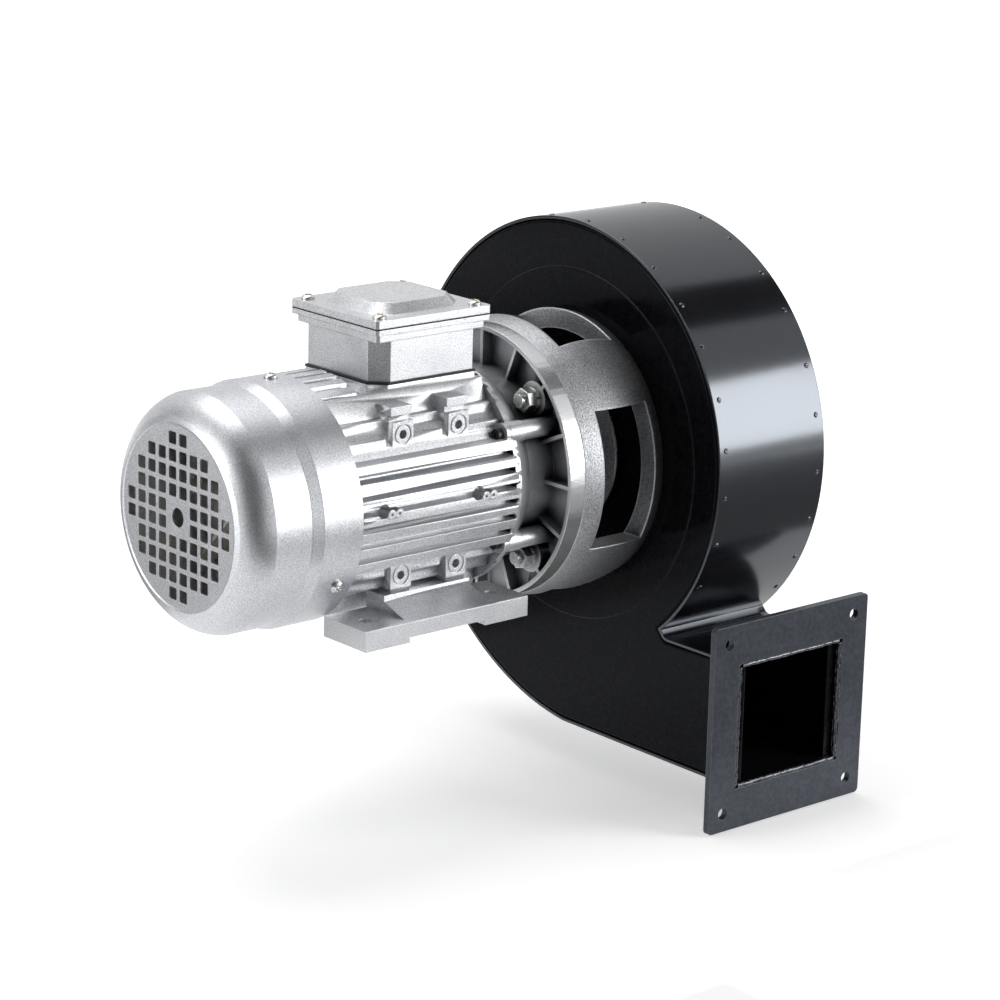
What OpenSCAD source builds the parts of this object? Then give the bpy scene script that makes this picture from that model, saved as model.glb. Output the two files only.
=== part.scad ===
// Centrifugal blower: a foot and flange mounted electric motor, a cast lantern
// that carries a sheet metal volute, and an impeller on the motor's long shaft.
// +X runs along the shaft from the fan cowl to the volute and the outlet faces -Y.
// The origin is the middle of the four foot holes, on the underside of the feet.

/* [Frame] */
// Height of the shaft axis above the underside of the feet
shaft_height = 71; // [70:0.5:76]
// Distance from the foot centre to the machined face of the motor flange
flange_reach = 93; // [92:0.5:100]
// Length of the finned stator housing
housing_len = 111; // [108:1:116]
// Bore of the stator housing, which is also the outside of the stator core
housing_bore_d = 112; // [108:1:114]
// Radial thickness of the housing wall at the root of the fins
housing_wall = 4.5; // [4:0.5:5.5]

/* [Cooling fins] */
// Diameter over the tips of the fins
fin_tip_d = 137; // [135:0.5:138]
// Distance from one fin to the next
fin_pitch = 9; // [8:0.5:10]
// Thickness of a fin
fin_t = 5.4; // [5:0.2:5.8]
// Number of fins on each flank of the housing
fin_count = 11; // [9:2:11]

/* [Mounting bosses] */
// Distance between the two bosses of a row, along the shaft
boss_pitch = 39.4; // [37:0.2:42]
// Height of each row of tapped holes above or below the shaft axis
boss_rise = 40; // [39.6:0.2:40.4]
// Width of a square boss along the shaft
boss_w = 14.6; // [12:0.2:16]
// Height of an upper boss
boss_h = 20.2; // [19:0.2:21]
// Height of a lower boss
low_boss_h = 16.8; // [16:0.2:17.6]
// Distance from the shaft axis to the machined face of a boss
boss_reach = 50.2; // [49.8:0.2:51]
// Diameter of the tapped hole in a boss
boss_hole_d = 5; // [4:0.5:6]
// Depth of the tapped hole in a boss
boss_hole_depth = 9; // [7:0.5:10]

/* [Feet] */
// Distance between the foot holes along the shaft
foot_hole_pitch_x = 90; // [86:1:94]
// Distance between the foot holes across the shaft
foot_hole_pitch_y = 112; // [110:1:116]
// Diameter of the foot holes
foot_hole_d = 7; // [5:0.5:9]
// Length of each foot rail
foot_len = 116; // [112:1:120]
// Thickness of a foot rail
foot_t = 11.7; // [10:0.5:13]
// Distance from the shaft axis to the outer edge of a foot rail
foot_outer_y = 73.3; // [70:0.5:76]
// Distance from the shaft axis to the inner edge of a foot rail
foot_inner_y = 36.4; // [35:0.5:40]
// Height of the relief under the middle of a foot rail
foot_relief = 3; // [2:0.5:4]
// Length of each end pad left by the relief
foot_pad_len = 31; // [26:1:34]
// Length of the sloping web along the shaft at its top
foot_web_len = 61; // [58:1:63]
// Thickness of the foot's top plate, which is bolted under the bosses
foot_top_t = 3.2; // [3:0.2:4.4]

/* [Fan cowl] */
// Distance from the foot centre to the outer face of the cowl
cowl_reach = 130.2; // [127:0.5:135]
// Radius of the rear part of the cowl
cowl_rear_r = 67.3; // [66.5:0.1:67.6]
// Radius of the front part of the cowl, which slips over the endshield
cowl_front_r = 69.3; // [69:0.1:70.5]
// Radius to which the rear shoulder of the cowl is curved
cowl_shoulder_r = 24; // [22:0.5:26]
// Sheet thickness of the cowl
cowl_sheet = 1.2; // [1:0.1:1.5]
// Length of the wider front part
cowl_collar_len = 26; // [25:0.5:30]
// Length of the sloping step between the two parts
cowl_step_len = 7; // [5:0.5:8]
// Distance between the square air holes
grille_pitch = 9.67; // [9.4:0.1:9.8]
// Width of a square air hole
grille_hole_w = 7; // [5.5:0.5:7.5]
// Diameter of the round hole in the middle
grille_centre_d = 10.8; // [8:0.4:12]

/* [Rear endshield] */
// Length of the endshield's rim under the cowl
rear_rim_len = 18; // [17:0.5:20]
// Thickness of the endshield's web
rear_web_t = 5; // [4:0.5:6]
// Wall around the bearing seats
seat_wall = 6; // [5:0.5:7]
// Length of the spigots that enter the housing
spigot_len = 5; // [4:0.5:6]

/* [Flange endshield] */
// Diameter of the motor flange
flange_d = 160; // [160:1:166]
// Thickness of the motor flange at its rim
flange_t = 11; // [9:0.5:12]
// Bolt circle diameter of the flange
flange_pcd = 130; // [128:1:132]
// Diameter of the flange holes
flange_hole_d = 10; // [9:0.5:11]
// Diameter of the centring spigot
flange_spigot_d = 110; // [104:1:111]
// Length of the centring spigot
flange_spigot_len = 3.5; // [3:0.5:4]
// Length of the endshield from the housing to the flange face
shield_len = 39; // [38:0.5:41]
// Diameter of the collar against the housing
collar_d = 132; // [130:1:134]
// Length of that collar
collar_len = 4; // [3.5:0.5:5]
// Radius of the bell where it meets the flange
bell_neck_r = 57; // [56:0.5:57]
// Diameter of the four screw ears on the collar
ear_d = 12.4; // [12:0.2:12.8]
// Length of the ears
ear_len = 10.5; // [9:0.5:12]
// Distance from the shaft axis to the endshield's screws
ear_reach = 63; // [62.5:0.5:63.5]
// Number of ribs in the pocket behind the flange
shield_rib_count = 16; // [8:8:16]
// Thickness of a rib
shield_rib_t = 2.2; // [2:0.2:2.6]
// Thickness of the flange's web at the bottom of that pocket
flange_web_t = 3.5; // [3:0.5:4]
// Radial thickness of the flange's rim around that pocket
flange_rim_t = 2.5; // [2.5:0.5:4]

/* [Shaft and bearings] */
// Bore of the ball bearings
bearing_bore_d = 15; // [15:0.5:15.5]
// Outside diameter of the ball bearings
bearing_outer_d = 35; // [35:0.5:36]
// Width of the ball bearings
bearing_w = 11; // [10:0.5:12]
// Diameter of the balls
ball_d = 5.9; // [5.6:0.1:6]
// Number of balls in a bearing
ball_count = 8; // [7:1:9]
// Diameter of the shaft between the bearings
shaft_core_d = 22; // [20:1:24]
// Diameter of the shaft outside the bearings
shaft_end_d = 14; // [13:0.5:14]
// Width of the keys
key_w = 5; // [4:0.5:5]
// Height of the keys
key_h = 5; // [4:0.5:5]

/* [Electrical core] */
// Length of the stator and rotor lamination stacks
core_len = 60; // [56:1:64]
// Diameter of the rotor core
rotor_d = 68; // [66:1:70]
// Air gap between rotor and stator
air_gap = 0.5; // [0.3:0.1:0.6]
// Radial depth of the stator slots
slot_depth = 13; // [11:0.5:14]
// Number of stator slots
slot_count = 24; // [18:6:24]
// Length of each end turn of the winding
end_turn_len = 15; // [12:0.5:16]
// Length of the rotor's end rings
end_ring_len = 9; // [7:0.5:10]

/* [Lantern] */
// Length of the lantern between the motor flange and the volute
lantern_len = 60.4; // [58:0.5:64]
// Outside diameter of the lantern at both ends
lantern_d = 160; // [158:1:162]
// How far the outside swells between the ends
lantern_swell = 4; // [2:0.5:5]
// Radial thickness of the lantern between its windows, at its ends
lantern_wall = 10; // [9:0.5:11]
// Thickness of the ring at the motor
lantern_front_t = 12.5; // [11:0.5:14]
// Thickness of the ring at the volute
lantern_rear_t = 8.4; // [7.4:0.5:10]
// Width of each of the four windows as a share of the lantern's diameter
window_share = 0.506; // [0.46:0.01:0.52]
// Distance from the lantern's rim to the screws that hold the volute
volute_screw_inset = 6; // [5:0.5:7]
// Number of those screws
volute_screw_count = 8; // [4:4:8]

/* [Cooling disc] */
// Diameter of the cooling disc on the shaft inside the lantern
disc_d = 91; // [84:1:96]
// Thickness of the cooling disc
disc_t = 2.6; // [2:0.2:3.2]
// Gap between the cooling disc and the volute
disc_gap = 3.4; // [3:0.2:5]

/* [Volute] */
// Width of the volute over its two side plates
volute_w = 84; // [80:1:90]
// Sheet thickness of the volute
volute_sheet = 2; // [1.6:0.2:2.4]
// Radius of the scroll level with the shaft, on the outlet side
scroll_r = 126.4; // [124:0.5:130]
// How much the radius grows in the first 100 degrees
scroll_growth = 8.7; // [7:0.1:9.5]
// Share of that growth that is linear rather than quadratic
scroll_linear_share = 0.4; // [0.2:0.05:0.6]
// Height of the duct between the scroll and the outlet flange
duct_h = 74.9; // [72:0.5:78]
// Width of the lip folded inwards around each side plate
lip_w = 10; // [8:0.5:12]
// Diameter of the pressed land in the near side plate
land_d = 211; // [200:1:216]
// Height of the pressed land
land_h = 0.8; // [0.6:0.1:1]
// Diameter of the shaft hole in the near side plate
plate_hole_d = 24; // [22:1:28]

/* [Outlet flange] */
// Distance from the shaft axis to the outlet face
outlet_reach = 148.5; // [146:0.5:156]
// Side length of the square outlet flange
outlet_w = 123.5; // [122:0.5:128]
// Thickness of the outlet flange
outlet_t = 4; // [3:0.5:5]
// Distance between the holes of the outlet flange
outlet_hole_pitch = 101.3; // [100:0.1:104]
// Diameter of the holes in the outlet flange
outlet_hole_d = 7; // [6:0.5:9]

/* [Inlet nozzle] */
// Diameter of the inlet nozzle's throat
inlet_d = 100; // [96:1:104]
// Outside diameter of the inlet nozzle's rim
inlet_rim_d = 160; // [156:1:166]
// Distance from the nozzle's rim to its screws
inlet_screw_inset = 7; // [6:0.5:8]
// Number of screws in the inlet nozzle
inlet_screw_count = 8; // [4:4:8]
// Sheet thickness of the inlet nozzle
inlet_sheet = 1.5; // [1.2:0.1:2]
// Radius of the nozzle's rounded mouth
inlet_mouth_r = 14; // [12:0.5:15]

/* [Impeller] */
// Outside diameter of the impeller
impeller_d = 206; // [200:1:210]
// Sheet thickness of the impeller's discs
impeller_sheet = 2; // [1.6:0.2:2.4]
// Gap between the near side plate and the impeller's back disc
impeller_gap = 8; // [7:0.5:10]
// Width of the blades
blade_w = 46; // [44:0.5:48]
// Thickness of the blades
blade_t = 1.6; // [1.2:0.2:2]
// Number of blades
blade_count = 12; // [9:1:14]
// Radius of curvature of the blades
blade_curve_r = 80; // [76:1:90]
// Diameter of the impeller's hub
hub_d = 36; // [34:1:40]
// Length of the hub behind the back disc
hub_len = 26; // [24:1:28]

/* [Terminal box] */
// Distance from the foot centre to the middle of the terminal box
box_x = 15.1; // [12:0.5:18]
// Length of the box body along the shaft
box_len = 67.7; // [66:0.5:69]
// Width of the box body across the shaft
box_w = 62.8; // [61:0.5:64]
// Height of the box body
box_h = 24.3; // [23.5:0.1:27]
// Size of the bevel on two opposite corners of the box body
box_corner = 9; // [7:0.5:10]
// Wall thickness of the terminal box and its lid
box_wall = 3.2; // [2.8:0.2:3.4]
// Length of the lid
lid_len = 81.4; // [80:0.2:82]
// Width of the lid
lid_w = 78.2; // [77:0.2:79]
// Height of the rim of the box under the lid
box_rim_h = 7.4; // [6.8:0.2:8]
// Height of the lid's rim
lid_rim_h = 5.2; // [5:0.2:6.4]
// Height of the raised field on the lid
lid_field_h = 5.5; // [4:0.5:7]
// Distance from the shaft axis to the seat of the terminal box
box_seat = 63.4; // [63:0.2:65]
// Diameter of the cable entry thread
entry_d = 20; // [16:1:20]

/* [Fits] */
// Clearance between pieces that are assembled without load
fit = 0.05; // [0.03:0.01:0.08]
// Running clearance of the balls and the shaft seal
run_fit = 0.05; // [0.03:0.01:0.08]
// Clearance around screws that pass through a plate
screw_play = 0.3; // [0.2:0.1:0.4]
// Thickness of the gaskets
gasket_t = 1.5; // [1:0.5:2]

/* [Hidden] */
$fn = 72;

// One overrun serves every cut
over = 1;
// A small step between neighbouring surfaces
step = 2.4;
// Angle of the flange studs from the vertical
stud_angle = 45;
// Angles of the flange endshield's screws from the vertical
ear_angles = [60, 120, 240, 300];

// Screw sizes: thread radius, head radius and head height
m3 = [1.5, 2.8, 1.8];
m4 = [2, 3.9, 2.4];
m4_cap = [2, 3.5, 3.6];
m5 = [2.5, 4.4, 3.2];
m6 = [3, 5.2, 4];
m8 = [4, 7.2, 6.4];

// Places along the shaft
flange_x = flange_reach;
housing_x1 = flange_x - shield_len;
housing_x0 = housing_x1 - housing_len;
housing_mid = (housing_x0 + housing_x1) / 2;
volute_x0 = flange_x + lantern_len;
volute_x1 = volute_x0 + volute_w;
core_x0 = housing_mid - core_len / 2;
core_x1 = housing_mid + core_len / 2;

// Radii shared by the motor's pieces
bore_r = housing_bore_d / 2;
body_r = bore_r + housing_wall;
tip_r = fin_tip_d / 2;
rim_r = cowl_front_r - cowl_sheet - fit;
bearing_r = bearing_outer_d / 2;
seat_r = bearing_r + seat_wall;
journal_r = bearing_bore_d / 2;
shaft_r = shaft_end_d / 2;
flange_r = flange_d / 2;

// Bearings sit in blind seats, with a lip of this thickness behind them
seat_lip = 2;
wave_t = 1.2;
rear_bearing_x = housing_x0 - bearing_w + seat_lip;
front_bearing_x = housing_x1 + seat_lip;
lip_hole_r = journal_r + 2 * seat_lip;
track_r = (bearing_r + journal_r) / 2;
race_t = (bearing_r - journal_r - ball_d) / 2 + ball_d / 5;

// Cooling fan
fan_x1 = rear_bearing_x - 3 * seat_lip;
fan_hub_len = 14;
fan_disc_t = 2;
fan_tip_gap = 9;
fan_r = cowl_rear_r - fan_tip_gap;
fan_blade_len = 17;
fan_blade_count = 8;
fan_hub_r = 2 * shaft_r;
shaft_tail = 3;
shaft_x0 = fan_x1 - fan_hub_len - shaft_tail;
circlip_t = 1;

// Volute and impeller
wrap_in = volute_sheet;
back_x0 = volute_x0 + volute_sheet + impeller_gap;
blade_x0 = back_x0 + impeller_sheet;
blade_x1 = blade_x0 + blade_w;
hub_x0 = back_x0 - land_h;
hub_x1 = hub_x0 + hub_len;
shaft_x1 = hub_x1 - fit;
eye_r = inlet_d / 2 + 2 * inlet_sheet;
tongue_angle = -49;
scroll_step = 7;

// Terminal box levels above the shaft axis
box_z0 = box_seat + gasket_t;
box_z1 = box_z0 + box_h;
lid_z0 = box_z1 + box_rim_h;
lid_z1 = lid_z0 + lid_rim_h;
lid_seal_t = gasket_t / 2;
entry_z = box_z0 + box_h / 2 - box_wall / 3;

// Pieces are drawn on the shaft axis and lifted by this module
module on_axis() translate([0, 0, shaft_height]) children();

// A round bar on the shaft axis, from x0 to x1
module rod(x0, x1, r) translate([x0, 0, 0]) rotate([0, 90, 0]) cylinder(h = x1 - x0, r = r);

// A tube on the shaft axis
module tube(x0, x1, ro, ri) {
    difference() {
        rod(x0, x1, ro);
        rod(x0 - over, x1 + over, ri);
    }
}

// A solid of revolution whose outline points are [radius, x]
module turned(points) rotate([0, 90, 0]) rotate_extrude() polygon(points);

// An outline in Y and Z, drawn out along the shaft from x0 to x1
module slab(x0, x1) translate([x0, 0, 0]) rotate([90, 0, 90]) linear_extrude(x1 - x0) children();

// A box from one corner to the opposite one
module block(a, b) translate(a) cube(b - a);

// Copies around the shaft axis; the first stands at the angle start from +Z towards -Y
module around(count, start = 0) {
    for (i = [0 : count - 1]) rotate([start + i * 360 / count, 0, 0]) children();
}

// Points of an arc about a centre, from angle a0 to a1, in any plane
function arc(centre, r, a0, a1, steps) =
    [for (i = [0 : steps]) let (a = a0 + (a1 - a0) * i / steps) centre + r * [cos(a), sin(a)]];

// A screw along +X: the underside of its head is at x = 0, the shank runs to -X
module cap_screw(size, shank, socket_share = 0.5) {
    rod(-shank, 0, size[0]);
    difference() {
        rod(0, size[2], size[1]);
        translate([size[2] * (1 - socket_share), 0, 0]) rotate([0, 90, 0])
            cylinder(h = size[2], r = size[0], $fn = 6);
    }
}

// The same with a hexagon head
module hex_screw(size, shank) {
    rod(-shank, 0, size[0]);
    rotate([0, 90, 0]) cylinder(h = size[2], r = size[1], $fn = 6);
}

// Length of a cross recess as a share of the head
cross_share = 0.6;

// The same with a low domed head and a cross recess
module pan_screw(size, shank) {
    rod(-shank, 0, size[0]);
    cross_w = size[0] / 3;
    cross_l = size[1] * cross_share;
    difference() {
        union() {
            rod(0, size[2] / 2, size[1]);
            translate([size[2] / 2, 0, 0]) rotate([0, 90, 0])
                cylinder(h = size[2] / 2, r1 = size[1], r2 = size[1] * cross_share);
        }
        for (turn = [0, 90]) rotate([turn, 0, 0])
            block([size[2] / 2, -cross_l, -cross_w], [size[2] + over, cross_l, cross_w]);
    }
}

// Puts a screw drawn along X at a point, with its head upwards
module head_up(p) translate(p) rotate([0, -90, 0]) children();

/* Fan cowl */
cowl_x0 = -cowl_reach;
cowl_x1 = housing_x0 - fit;
cowl_step_x = cowl_x1 - cowl_collar_len;
// The shoulder leaves the flat face at one angle and meets the cylinder in a crease at another
shoulder_face_angle = 66;
shoulder_crease_angle = 12;
shoulder_mid_r = cowl_rear_r - cowl_shoulder_r * cos(shoulder_crease_angle);
shoulder_mid_x = cowl_x0 + cowl_shoulder_r * sin(shoulder_face_angle);
// Air holes lie within this many pitches of the middle, and outside the centre hole
grille_outer_share = 4.6;
grille_inner_share = 0.8;
cowl_screw_inset = 11;
cowl_screw_x = cowl_x1 - cowl_screw_inset;

module cowl_outline(inset, x_end) {
    r = cowl_shoulder_r - inset;
    start = asin((shoulder_mid_x - cowl_x0 - inset) / r);
    stop = acos((cowl_rear_r - inset - shoulder_mid_r) / r);
    turned(concat(
        [[0, cowl_x0 + inset]],
        [for (p = arc([0, 0], r, start, stop, 8)) [shoulder_mid_r + p[0], shoulder_mid_x - p[1]]],
        [[cowl_rear_r - inset, cowl_step_x - cowl_step_len],
         [cowl_front_r - inset, cowl_step_x],
         [cowl_front_r - inset, x_end],
         [0, x_end]]));
}

module fan_cowl() color("silver") on_axis() {
    reach = 4.5;
    difference() {
        cowl_outline(0, cowl_x1);
        cowl_outline(cowl_sheet, cowl_x1 + over);
        for (i = [-reach : reach], j = [-reach : reach]) {
            if (norm([i, j]) < grille_outer_share && norm([i, j]) > grille_inner_share)
                translate([cowl_x0 + cowl_sheet / 2, i * grille_pitch, j * grille_pitch])
                    cube([2 * cowl_sheet, grille_hole_w, grille_hole_w], center = true);
        }
        rod(cowl_x0 - over, cowl_x0 + 2 * cowl_sheet, grille_centre_d / 2);
        around(3) translate([cowl_screw_x, 0, rim_r]) rotate([0, -90, 0])
            rod(-over, 2 * cowl_sheet + over, m4[0] + screw_play);
    }
}

module cowl_screws() color("gainsboro") on_axis() around(3)
    head_up([cowl_screw_x, 0, cowl_front_r + fit]) pan_screw(m4, rim_r - bore_r - housing_wall);

/* Cooling fan */
module cooling_fan() color("dimgray") on_axis() {
    difference() {
        union() {
            rod(fan_x1 - fan_hub_len, fan_x1, fan_hub_r);
            rod(fan_x1 - fan_disc_t, fan_x1, fan_r);
            around(fan_blade_count)
                block([fan_x1 - fan_blade_len, -fan_disc_t / 2, fan_hub_r - fan_disc_t],
                    [fan_x1 - fan_disc_t / 2, fan_disc_t / 2, fan_r]);
        }
        rod(fan_x1 - fan_blade_len - over, fan_x1 + over, shaft_r + fit);
    }
}

module fan_circlip() color("gray") on_axis()
    tube(fan_x1 - fan_hub_len - fit - circlip_t, fan_x1 - fan_hub_len - fit,
        shaft_r + shaft_tail, shaft_r - circlip_t / 2 + fit);

/* Rear endshield */
rear_x0 = housing_x0 - rear_rim_len;
rim_t = rim_r - body_r;
rear_screw_depth = 12;

module rear_endshield() color("silver") on_axis() {
    difference() {
        union() {
            tube(rear_x0, housing_x0, rim_r, rim_r - rim_t);
            rod(housing_x0 - rear_web_t, housing_x0, rim_r - rim_t / 2);
            rod(housing_x0 - fit, housing_x0 + spigot_len, bore_r - fit);
            rod(rear_bearing_x - wave_t - seat_lip, housing_x0, seat_r);
        }
        tube(housing_x0, housing_x0 + spigot_len + over, bore_r - rim_t, seat_r);
        rod(rear_bearing_x - wave_t, housing_x0 + spigot_len + over, bearing_r + fit);
        rod(rear_x0 - over, housing_x0, lip_hole_r);
        around(3) translate([cowl_screw_x, 0, body_r]) rotate([0, -90, 0])
            rod(-rim_t, rim_t + over, m4[0] + fit);
        around(4, stud_angle) rear_screw_place() rod(-rear_rim_len, rear_rim_len, m5[0] + screw_play);
    }
}

// The rear endshield's screws run into lugs inside the housing
module rear_screw_place() translate([housing_x0 - rear_web_t - fit, 0, lug_reach]) children();

module rear_shield_screws() color("gray") on_axis() around(4, stud_angle) rear_screw_place()
    mirror([1, 0, 0]) cap_screw(m5, rear_web_t + rear_screw_depth);

/* Ball bearings */
module bearing_outer(x) tube_with_track(x, bearing_r, bearing_r - race_t);
module bearing_inner(x) tube_with_track(x, journal_r + race_t, journal_r + fit);

// A ring with the balls' groove cut in it
module tube_with_track(x, ro, ri) {
    difference() {
        tube(x, x + bearing_w, ro, ri);
        translate([x + bearing_w / 2, 0, 0]) rotate([0, 90, 0]) rotate_extrude()
            translate([track_r, 0]) circle(r = ball_d / 2 + run_fit);
    }
}

module bearing_balls(x) around(ball_count)
    translate([x + bearing_w / 2, 0, track_r]) sphere(r = ball_d / 2);

module rear_bearing_outer() color("lightgray") on_axis() bearing_outer(rear_bearing_x);
module rear_bearing_balls() color("white") on_axis() bearing_balls(rear_bearing_x);
module rear_bearing_inner() color("lightgray") on_axis() bearing_inner(rear_bearing_x);
module front_bearing_outer() color("lightgray") on_axis() bearing_outer(front_bearing_x);
module front_bearing_balls() color("white") on_axis() bearing_balls(front_bearing_x);
module front_bearing_inner() color("lightgray") on_axis() bearing_inner(front_bearing_x);

module wave_spring() color("slategray") on_axis()
    tube(rear_bearing_x - wave_t + fit, rear_bearing_x - fit, bearing_r, bearing_r - race_t);

/* Stator housing */
lug_r = m5[0] + seat_lip;
lug_neck = lug_r - step / 6;
lug_reach = bore_r - lug_r + step / 3;

// The rows of fins level with the bosses are cut back; the number of upright fins each side
boss_row = 4;
upright_rows = 3;

module fin_field() {
    // Level fins on the two flanks
    for (i = [0 : fin_count - 1]) {
        row = i - (fin_count - 1) / 2;
        past = abs(row) - boss_row;
        reach = past < 0 ? tip_r + over : boss_reach - step / 4 - past * 3 * step;
        block([housing_x0, -reach, row * fin_pitch - fin_t / 2], [housing_x1, reach, row * fin_pitch + fin_t / 2]);
    }
    // Upright ones below, and above as far as the terminal box
    for (i = [-upright_rows : upright_rows]) {
        block([housing_x0, i * fin_pitch - fin_t / 2, -tip_r - over], [housing_x1, i * fin_pitch + fin_t / 2, 0]);
        block([housing_x0, i * fin_pitch - fin_t / 2, 0],
            [box_x - pedestal_len / 2 - upright_gap, i * fin_pitch + fin_t / 2, tip_r + over]);
    }
}
upright_gap = 11.5;

// Two pairs of small pin bosses on the flank, each pair beside a round notch in the next fin
pin_x = [-42.1, 24.5];
pin_r = 2.7;
pin_hole_r = 0.8;
pin_rise = 2.2;
notch_r = 4;
pin_reach = tip_r + pin_hole_r / 2;

module pin_places() for (x = pin_x, i = [1, 2])
    translate([x + i * 2 * (pin_r - pin_hole_r / 8), -pin_reach, pin_rise]) rotate([-90, 0, 0]) children();

module notches() for (x = pin_x) translate([x, -tip_r - over, fin_pitch / 2]) rotate([-90, 0, 0])
    cylinder(h = tip_r - body_r + step, r = notch_r);

// Distance from a boss's hole to the edge farther from the shaft axis
boss_edge = boss_w / 2;

module boss_block(side, row) {
    for (end = [-1, 1]) {
        x = end * boss_pitch / 2 + boss_x;
        far = boss_rise + boss_edge;
        z0 = row > 0 ? far - boss_h : -far;
        z1 = row > 0 ? far : low_boss_h - far;
        block([x - boss_w / 2, min(0, side * boss_reach), z0], [x + boss_w / 2, max(0, side * boss_reach), z1]);
        if (row > 0) arm(side, x, far); else pad(side, x, far);
    }
}

// An arm above each upper boss reaches out from the skirt
arm_reach = 48.6;
arm_z0 = 50.5;
arm_z1 = 55.5;

module arm(side, x, far) {
    block([x - boss_w / 2, min(0, side * arm_reach), arm_z0], [x + boss_w / 2, max(0, side * arm_reach), arm_z1]);
    inner = arm_reach - step;
    block([x - boss_edge + fit, min(0, side * inner), far - step], [x + boss_edge - fit, max(0, side * inner), arm_z0 + over]);
}

// A pad under each lower boss stands on the foot
pad_h = 2.7;
pad_inset = 0.8;

module pad(side, x, far) {
    outer = boss_reach - pad_inset;
    block([x - boss_w / 2 + pad_inset, min(0, side * outer), -far - pad_h],
        [x + boss_w / 2 - pad_inset, max(0, side * outer), -far + over]);
}

// A pocket beside each boss, on the cowl's side, cuts the fins away
pocket_w = 4;
pocket_depth = 7;

module pockets() for (side = [-1, 1], row = [-1, 1], end = [-1, 1]) {
    x = end * boss_pitch / 2 + boss_x - boss_w / 2;
    y = side * (boss_reach - pocket_depth);
    z0 = boss_row * fin_pitch - fin_t / 2 - step / 2;
    z1 = (boss_row + 1) * fin_pitch + fin_t;
    block([x - pocket_w, min(y, side * tip_r), row > 0 ? z0 : -z1], [x, max(y, side * tip_r), row > 0 ? z1 : -z0]);
}

// A smooth skirt under the box runs the length of the housing; its outer face as [y, z]
skirt_foot = [38, 48];
skirt_top = [33, 60];
skirt_step = 2;

module skirt() for (side = [0, 1]) mirror([0, side, 0]) slab(housing_x0, housing_x1)
    polygon([skirt_foot, skirt_top, [upright_rows * fin_pitch, skirt_top[1]],
        [upright_rows * fin_pitch, skirt_foot[1] - skirt_step], skirt_foot - [skirt_step, skirt_step]]);

// The middle of the bosses lies between the foot holes, a little towards the flange
boss_x = housing_mid + 2.4 * step;
pedestal_len = box_len + box_wall;
pedestal_w = box_w;
// A thin ring groove surrounds each tapped hole
ring_r = 5;
ring_w = 0.8;

module housing_holes() {
    for (side = [-1, 1], row = [-1, 1], end = [-1, 1])
        translate([end * boss_pitch / 2 + boss_x, side * boss_reach, row * boss_rise])
            rotate([side * 90, 0, 0])
                translate([0, 0, -over]) {
                    cylinder(h = boss_hole_depth + over, r = boss_hole_d / 2);
                    difference() {
                        cylinder(h = ring_w + over, r = ring_r + ring_w);
                        translate([0, 0, -over]) cylinder(h = ring_w + 3 * over, r = ring_r);
                    }
                }
    for (end = [-1, 1], side = [-1, 1]) box_screw_place(end, side)
        translate([0, 0, -box_screw_depth]) cylinder(h = box_screw_depth + over, r = m4[0] + fit);
    foot_bolt_places() translate([0, 0, -over])
        cylinder(h = foot_bolt_depth + over, r = m6[0] + fit);
    translate([box_x, 0, body_r - housing_wall])
        cylinder(h = 2 * housing_wall + 2 * over + box_seat - body_r, r = wire_hole_r);
}

wire_hole_r = 12;
box_screw_depth = 7;
foot_bolt_depth = 6.5;
foot_seat = boss_rise + boss_edge + pad_h;
foot_play = 0.8;
box_screw_x = box_len / 2 - 2.4 * box_wall;
box_screw_y = box_w / 2 - 4.4 * box_wall;

module box_screw_place(end, side)
    translate([box_x + end * box_screw_x, side * box_screw_y, box_seat]) children();

module foot_bolt_places() {
    for (side = [-1, 1], end = [-1, 1])
        translate([end * boss_pitch / 2 + boss_x, side * bolt_y, -foot_seat])
            children();
}

module stator_housing() color("silver") on_axis() {
    difference() {
        union() {
            rod(housing_x0, housing_x1, body_r);
            difference() {
                intersection() {
                    fin_field();
                    rod(housing_x0 - over, housing_x1 + over, tip_r);
                }
                notches();
                pockets();
            }
            pin_places() cylinder(h = pin_reach - bore_r - step, r = pin_r);
            for (side = [-1, 1], row = [-1, 1]) boss_block(side, row);
            skirt();
            layer(0, box_seat) box_plan(pedestal_len, pedestal_w, box_corner);
            ear_places() rod(housing_x1 - ear_lug_len, housing_x1, ear_d / 2 - fit);
        }
        // The box seat is milled flat through the fins
        block([box_x - pedestal_len / 2 - step, -tip_r, box_seat],
            [box_x + pedestal_len / 2 + step, tip_r, tip_r + over]);
        // So are the seats of the feet
        for (side = [-1, 1])
            block([foot_web_x - foot_web_len / 2 - step, min(side * (foot_top_y0 - foot_play), side * tip_r), -tip_r],
                [foot_web_x + foot_web_len / 2 + step, max(side * (foot_top_y0 - foot_play), side * tip_r), -foot_seat]);
        difference() {
            rod(housing_x0 - over, housing_x1 + over, bore_r);
            around(4, stud_angle) translate([housing_x0 + spigot_len + fit, 0, lug_reach]) lug();
        }
        around(4, stud_angle) translate([housing_x0, 0, lug_reach])
            rod(0, spigot_len + rear_screw_depth + over, m5[0] + fit);
        // Clearance for the endshield's screws and their heads
        ear_places() {
            rod(ear_head_x - over, housing_x1 + over, m4_cap[0] + screw_play);
            rod(ear_head_x - m4_cap[2] - step, ear_head_x, m4_cap[1] + screw_play);
        }
        pin_places() translate([0, 0, -over]) cylinder(h = over + 2 * step, r = pin_hole_r);
        housing_holes();
    }
}

// A screw lug inside the housing, joined to its wall
module lug() {
    rod(0, rear_screw_depth, lug_r);
    block([0, -lug_neck, 0], [rear_screw_depth, lug_neck, lug_r + housing_wall / 2]);
}

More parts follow.
